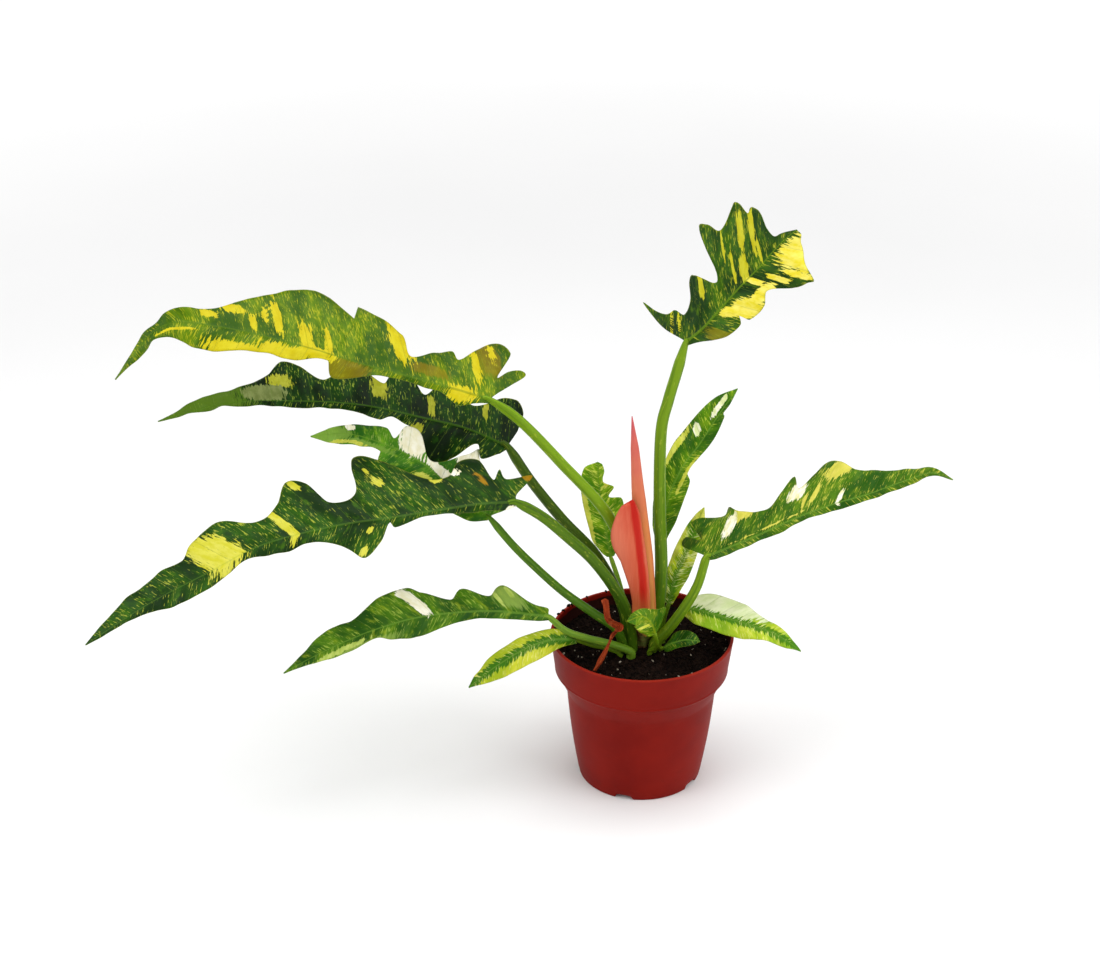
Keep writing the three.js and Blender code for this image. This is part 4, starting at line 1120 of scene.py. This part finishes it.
def driedMaterial():
    material, m = newMaterial("dried_sheath_finish")
    uv = m.parts(m.node("ShaderNodeUVMap", {"uv_map": "UVMap"})[0])
    fibres = m.noise(m.vector(uv[0] * 8, uv[1] * 170, 2.0), 1.0, 4.0, 0.65)
    cloud = m.noise(m.vector(uv[0] * 30, uv[1] * 30, 5.0), 1.0, 3.0, 0.5)
    colour = m.mix(fibres.above(0.38, 0.62), srgb(112, 34, 12), srgb(176, 70, 30))
    colour = m.mix(cloud.above(0.55, 0.7) * 0.5, colour, srgb(198, 112, 62))
    coat(m, colour, 0.55 + fibres * 0.3, 0.1, fibres, 0.6 * mm)
    return material


dried = {
    "rib": [[-25, -27, 50], [-23, -26, 36], [-16, -24, 28], [-21, -27, 20], [-25, -33, 11], [-31, -38, 3]],
    "side": [0.6, -0.2, 0.8], "droop": 0, "seed": 31.0,
    "left": [[0.1, 2.6, 0], [0.3, 3.4, 1], [0.4, 3.8, 1], [0.55, 2.6, 0], [0.75, 2.8, 0], [0.9, 4, 1],
             [0.97, 1.5, 2]],
    "right": [[0.1, 1.6, 0], [0.3, 2.2, 0], [0.45, 2.8, 0], [0.7, 2.4, 1], [0.9, 3.4, 2], [0.97, 2.4, 2]],
    "shape": {"quilt": 0.0, "ripple": 1.6, "ribSize": 0.8, "cup": 1.4},
}
bladeMesh("dried_sheath", dried, driedMaterial(), "dried_sheath", 0.8)
print("new growth made")


# metres: past the lamps' reach the floor glows from start to full, so that it stays pale, and the glow
# falls again from fading to far, where it meets the world's tone
stage = {"half": 6.0, "start": 0.8, "full": 2.0, "fading": 2.2, "far": 5.5, "glow": 0.42, "farGlow": 0.07}


def stageFloor():
    material, m = newMaterial("floor_finish")
    where = m.place()
    tone = m.mix(m.noise(where, 3.0, 2.0), srgb(240, 240, 240), srgb(246, 246, 246))
    away = m.node("ShaderNodeVectorMath", {"operation": "LENGTH"}, {0: where})["Value"]
    outer = away.above(stage["fading"], stage["far"])
    glow = m.mix(outer, (0, 0, 0, 1), (*[stage["farGlow"]] * 3, 1))
    glow = m.mix(away.above(stage["start"], stage["full"]) * (1 - outer), glow, (*[stage["glow"]] * 3, 1))
    sockets = {"Base Color": tone, "Roughness": 0.9, "Emission Color": glow, "Emission Strength": 1.0}
    finishMaterial(m, sockets)
    half = stage["half"]
    corners = [(-half, -half, 0), (half, -half, 0), (half, half, 0), (-half, half, 0)]
    mesh = bpy.data.meshes.new("floor")
    mesh.from_pydata(corners, [], [(0, 1, 2, 3)])
    mesh.materials.append(material)
    floor = bpy.data.objects.new("floor", mesh)
    bpy.context.scene.collection.objects.link(floor)


lamps = {
    "left": {"place": (-1.3, -0.5, 0.9), "size": 1.2, "power": 11},
    "right": {"place": (1.2, -0.6, 0.8), "size": 1.2, "power": 11},
    "top": {"place": (0.1, 0.1, 1.7), "size": 1.3, "power": 15},
}


def areaLight(name, lamp, target):
    light = bpy.data.lights.new(name, "AREA")
    light.energy = lamp["power"]
    light.size = lamp["size"]
    holder = bpy.data.objects.new(name, light)
    holder.location = lamp["place"]
    holder.rotation_euler = (Vector(target) - Vector(lamp["place"])).to_track_quat("-Z", "Y").to_euler()
    bpy.context.scene.collection.objects.link(holder)


bpy.context.scene.view_settings.view_transform = "Standard"
stageFloor()
for name, lamp in lamps.items():
    areaLight(name, lamp, (-0.05, 0.0, 0.2))
world = bpy.data.worlds.new("studio")
world.use_nodes = True
world.node_tree.nodes["Background"].inputs["Color"].default_value = (1, 1, 1, 1)
world.node_tree.nodes["Background"].inputs["Strength"].default_value = 0.55
bpy.context.scene.world = world

lens = bpy.data.cameras.new("camera")
lens.lens = 78.5
lens.sensor_width = 36
camera = bpy.data.objects.new("camera", lens)
camera.location = (-0.0601, -1.3508, 0.9076)
camera.rotation_euler = (math.radians(62.9), 0, 0)
bpy.context.scene.collection.objects.link(camera)
bpy.context.scene.camera = camera
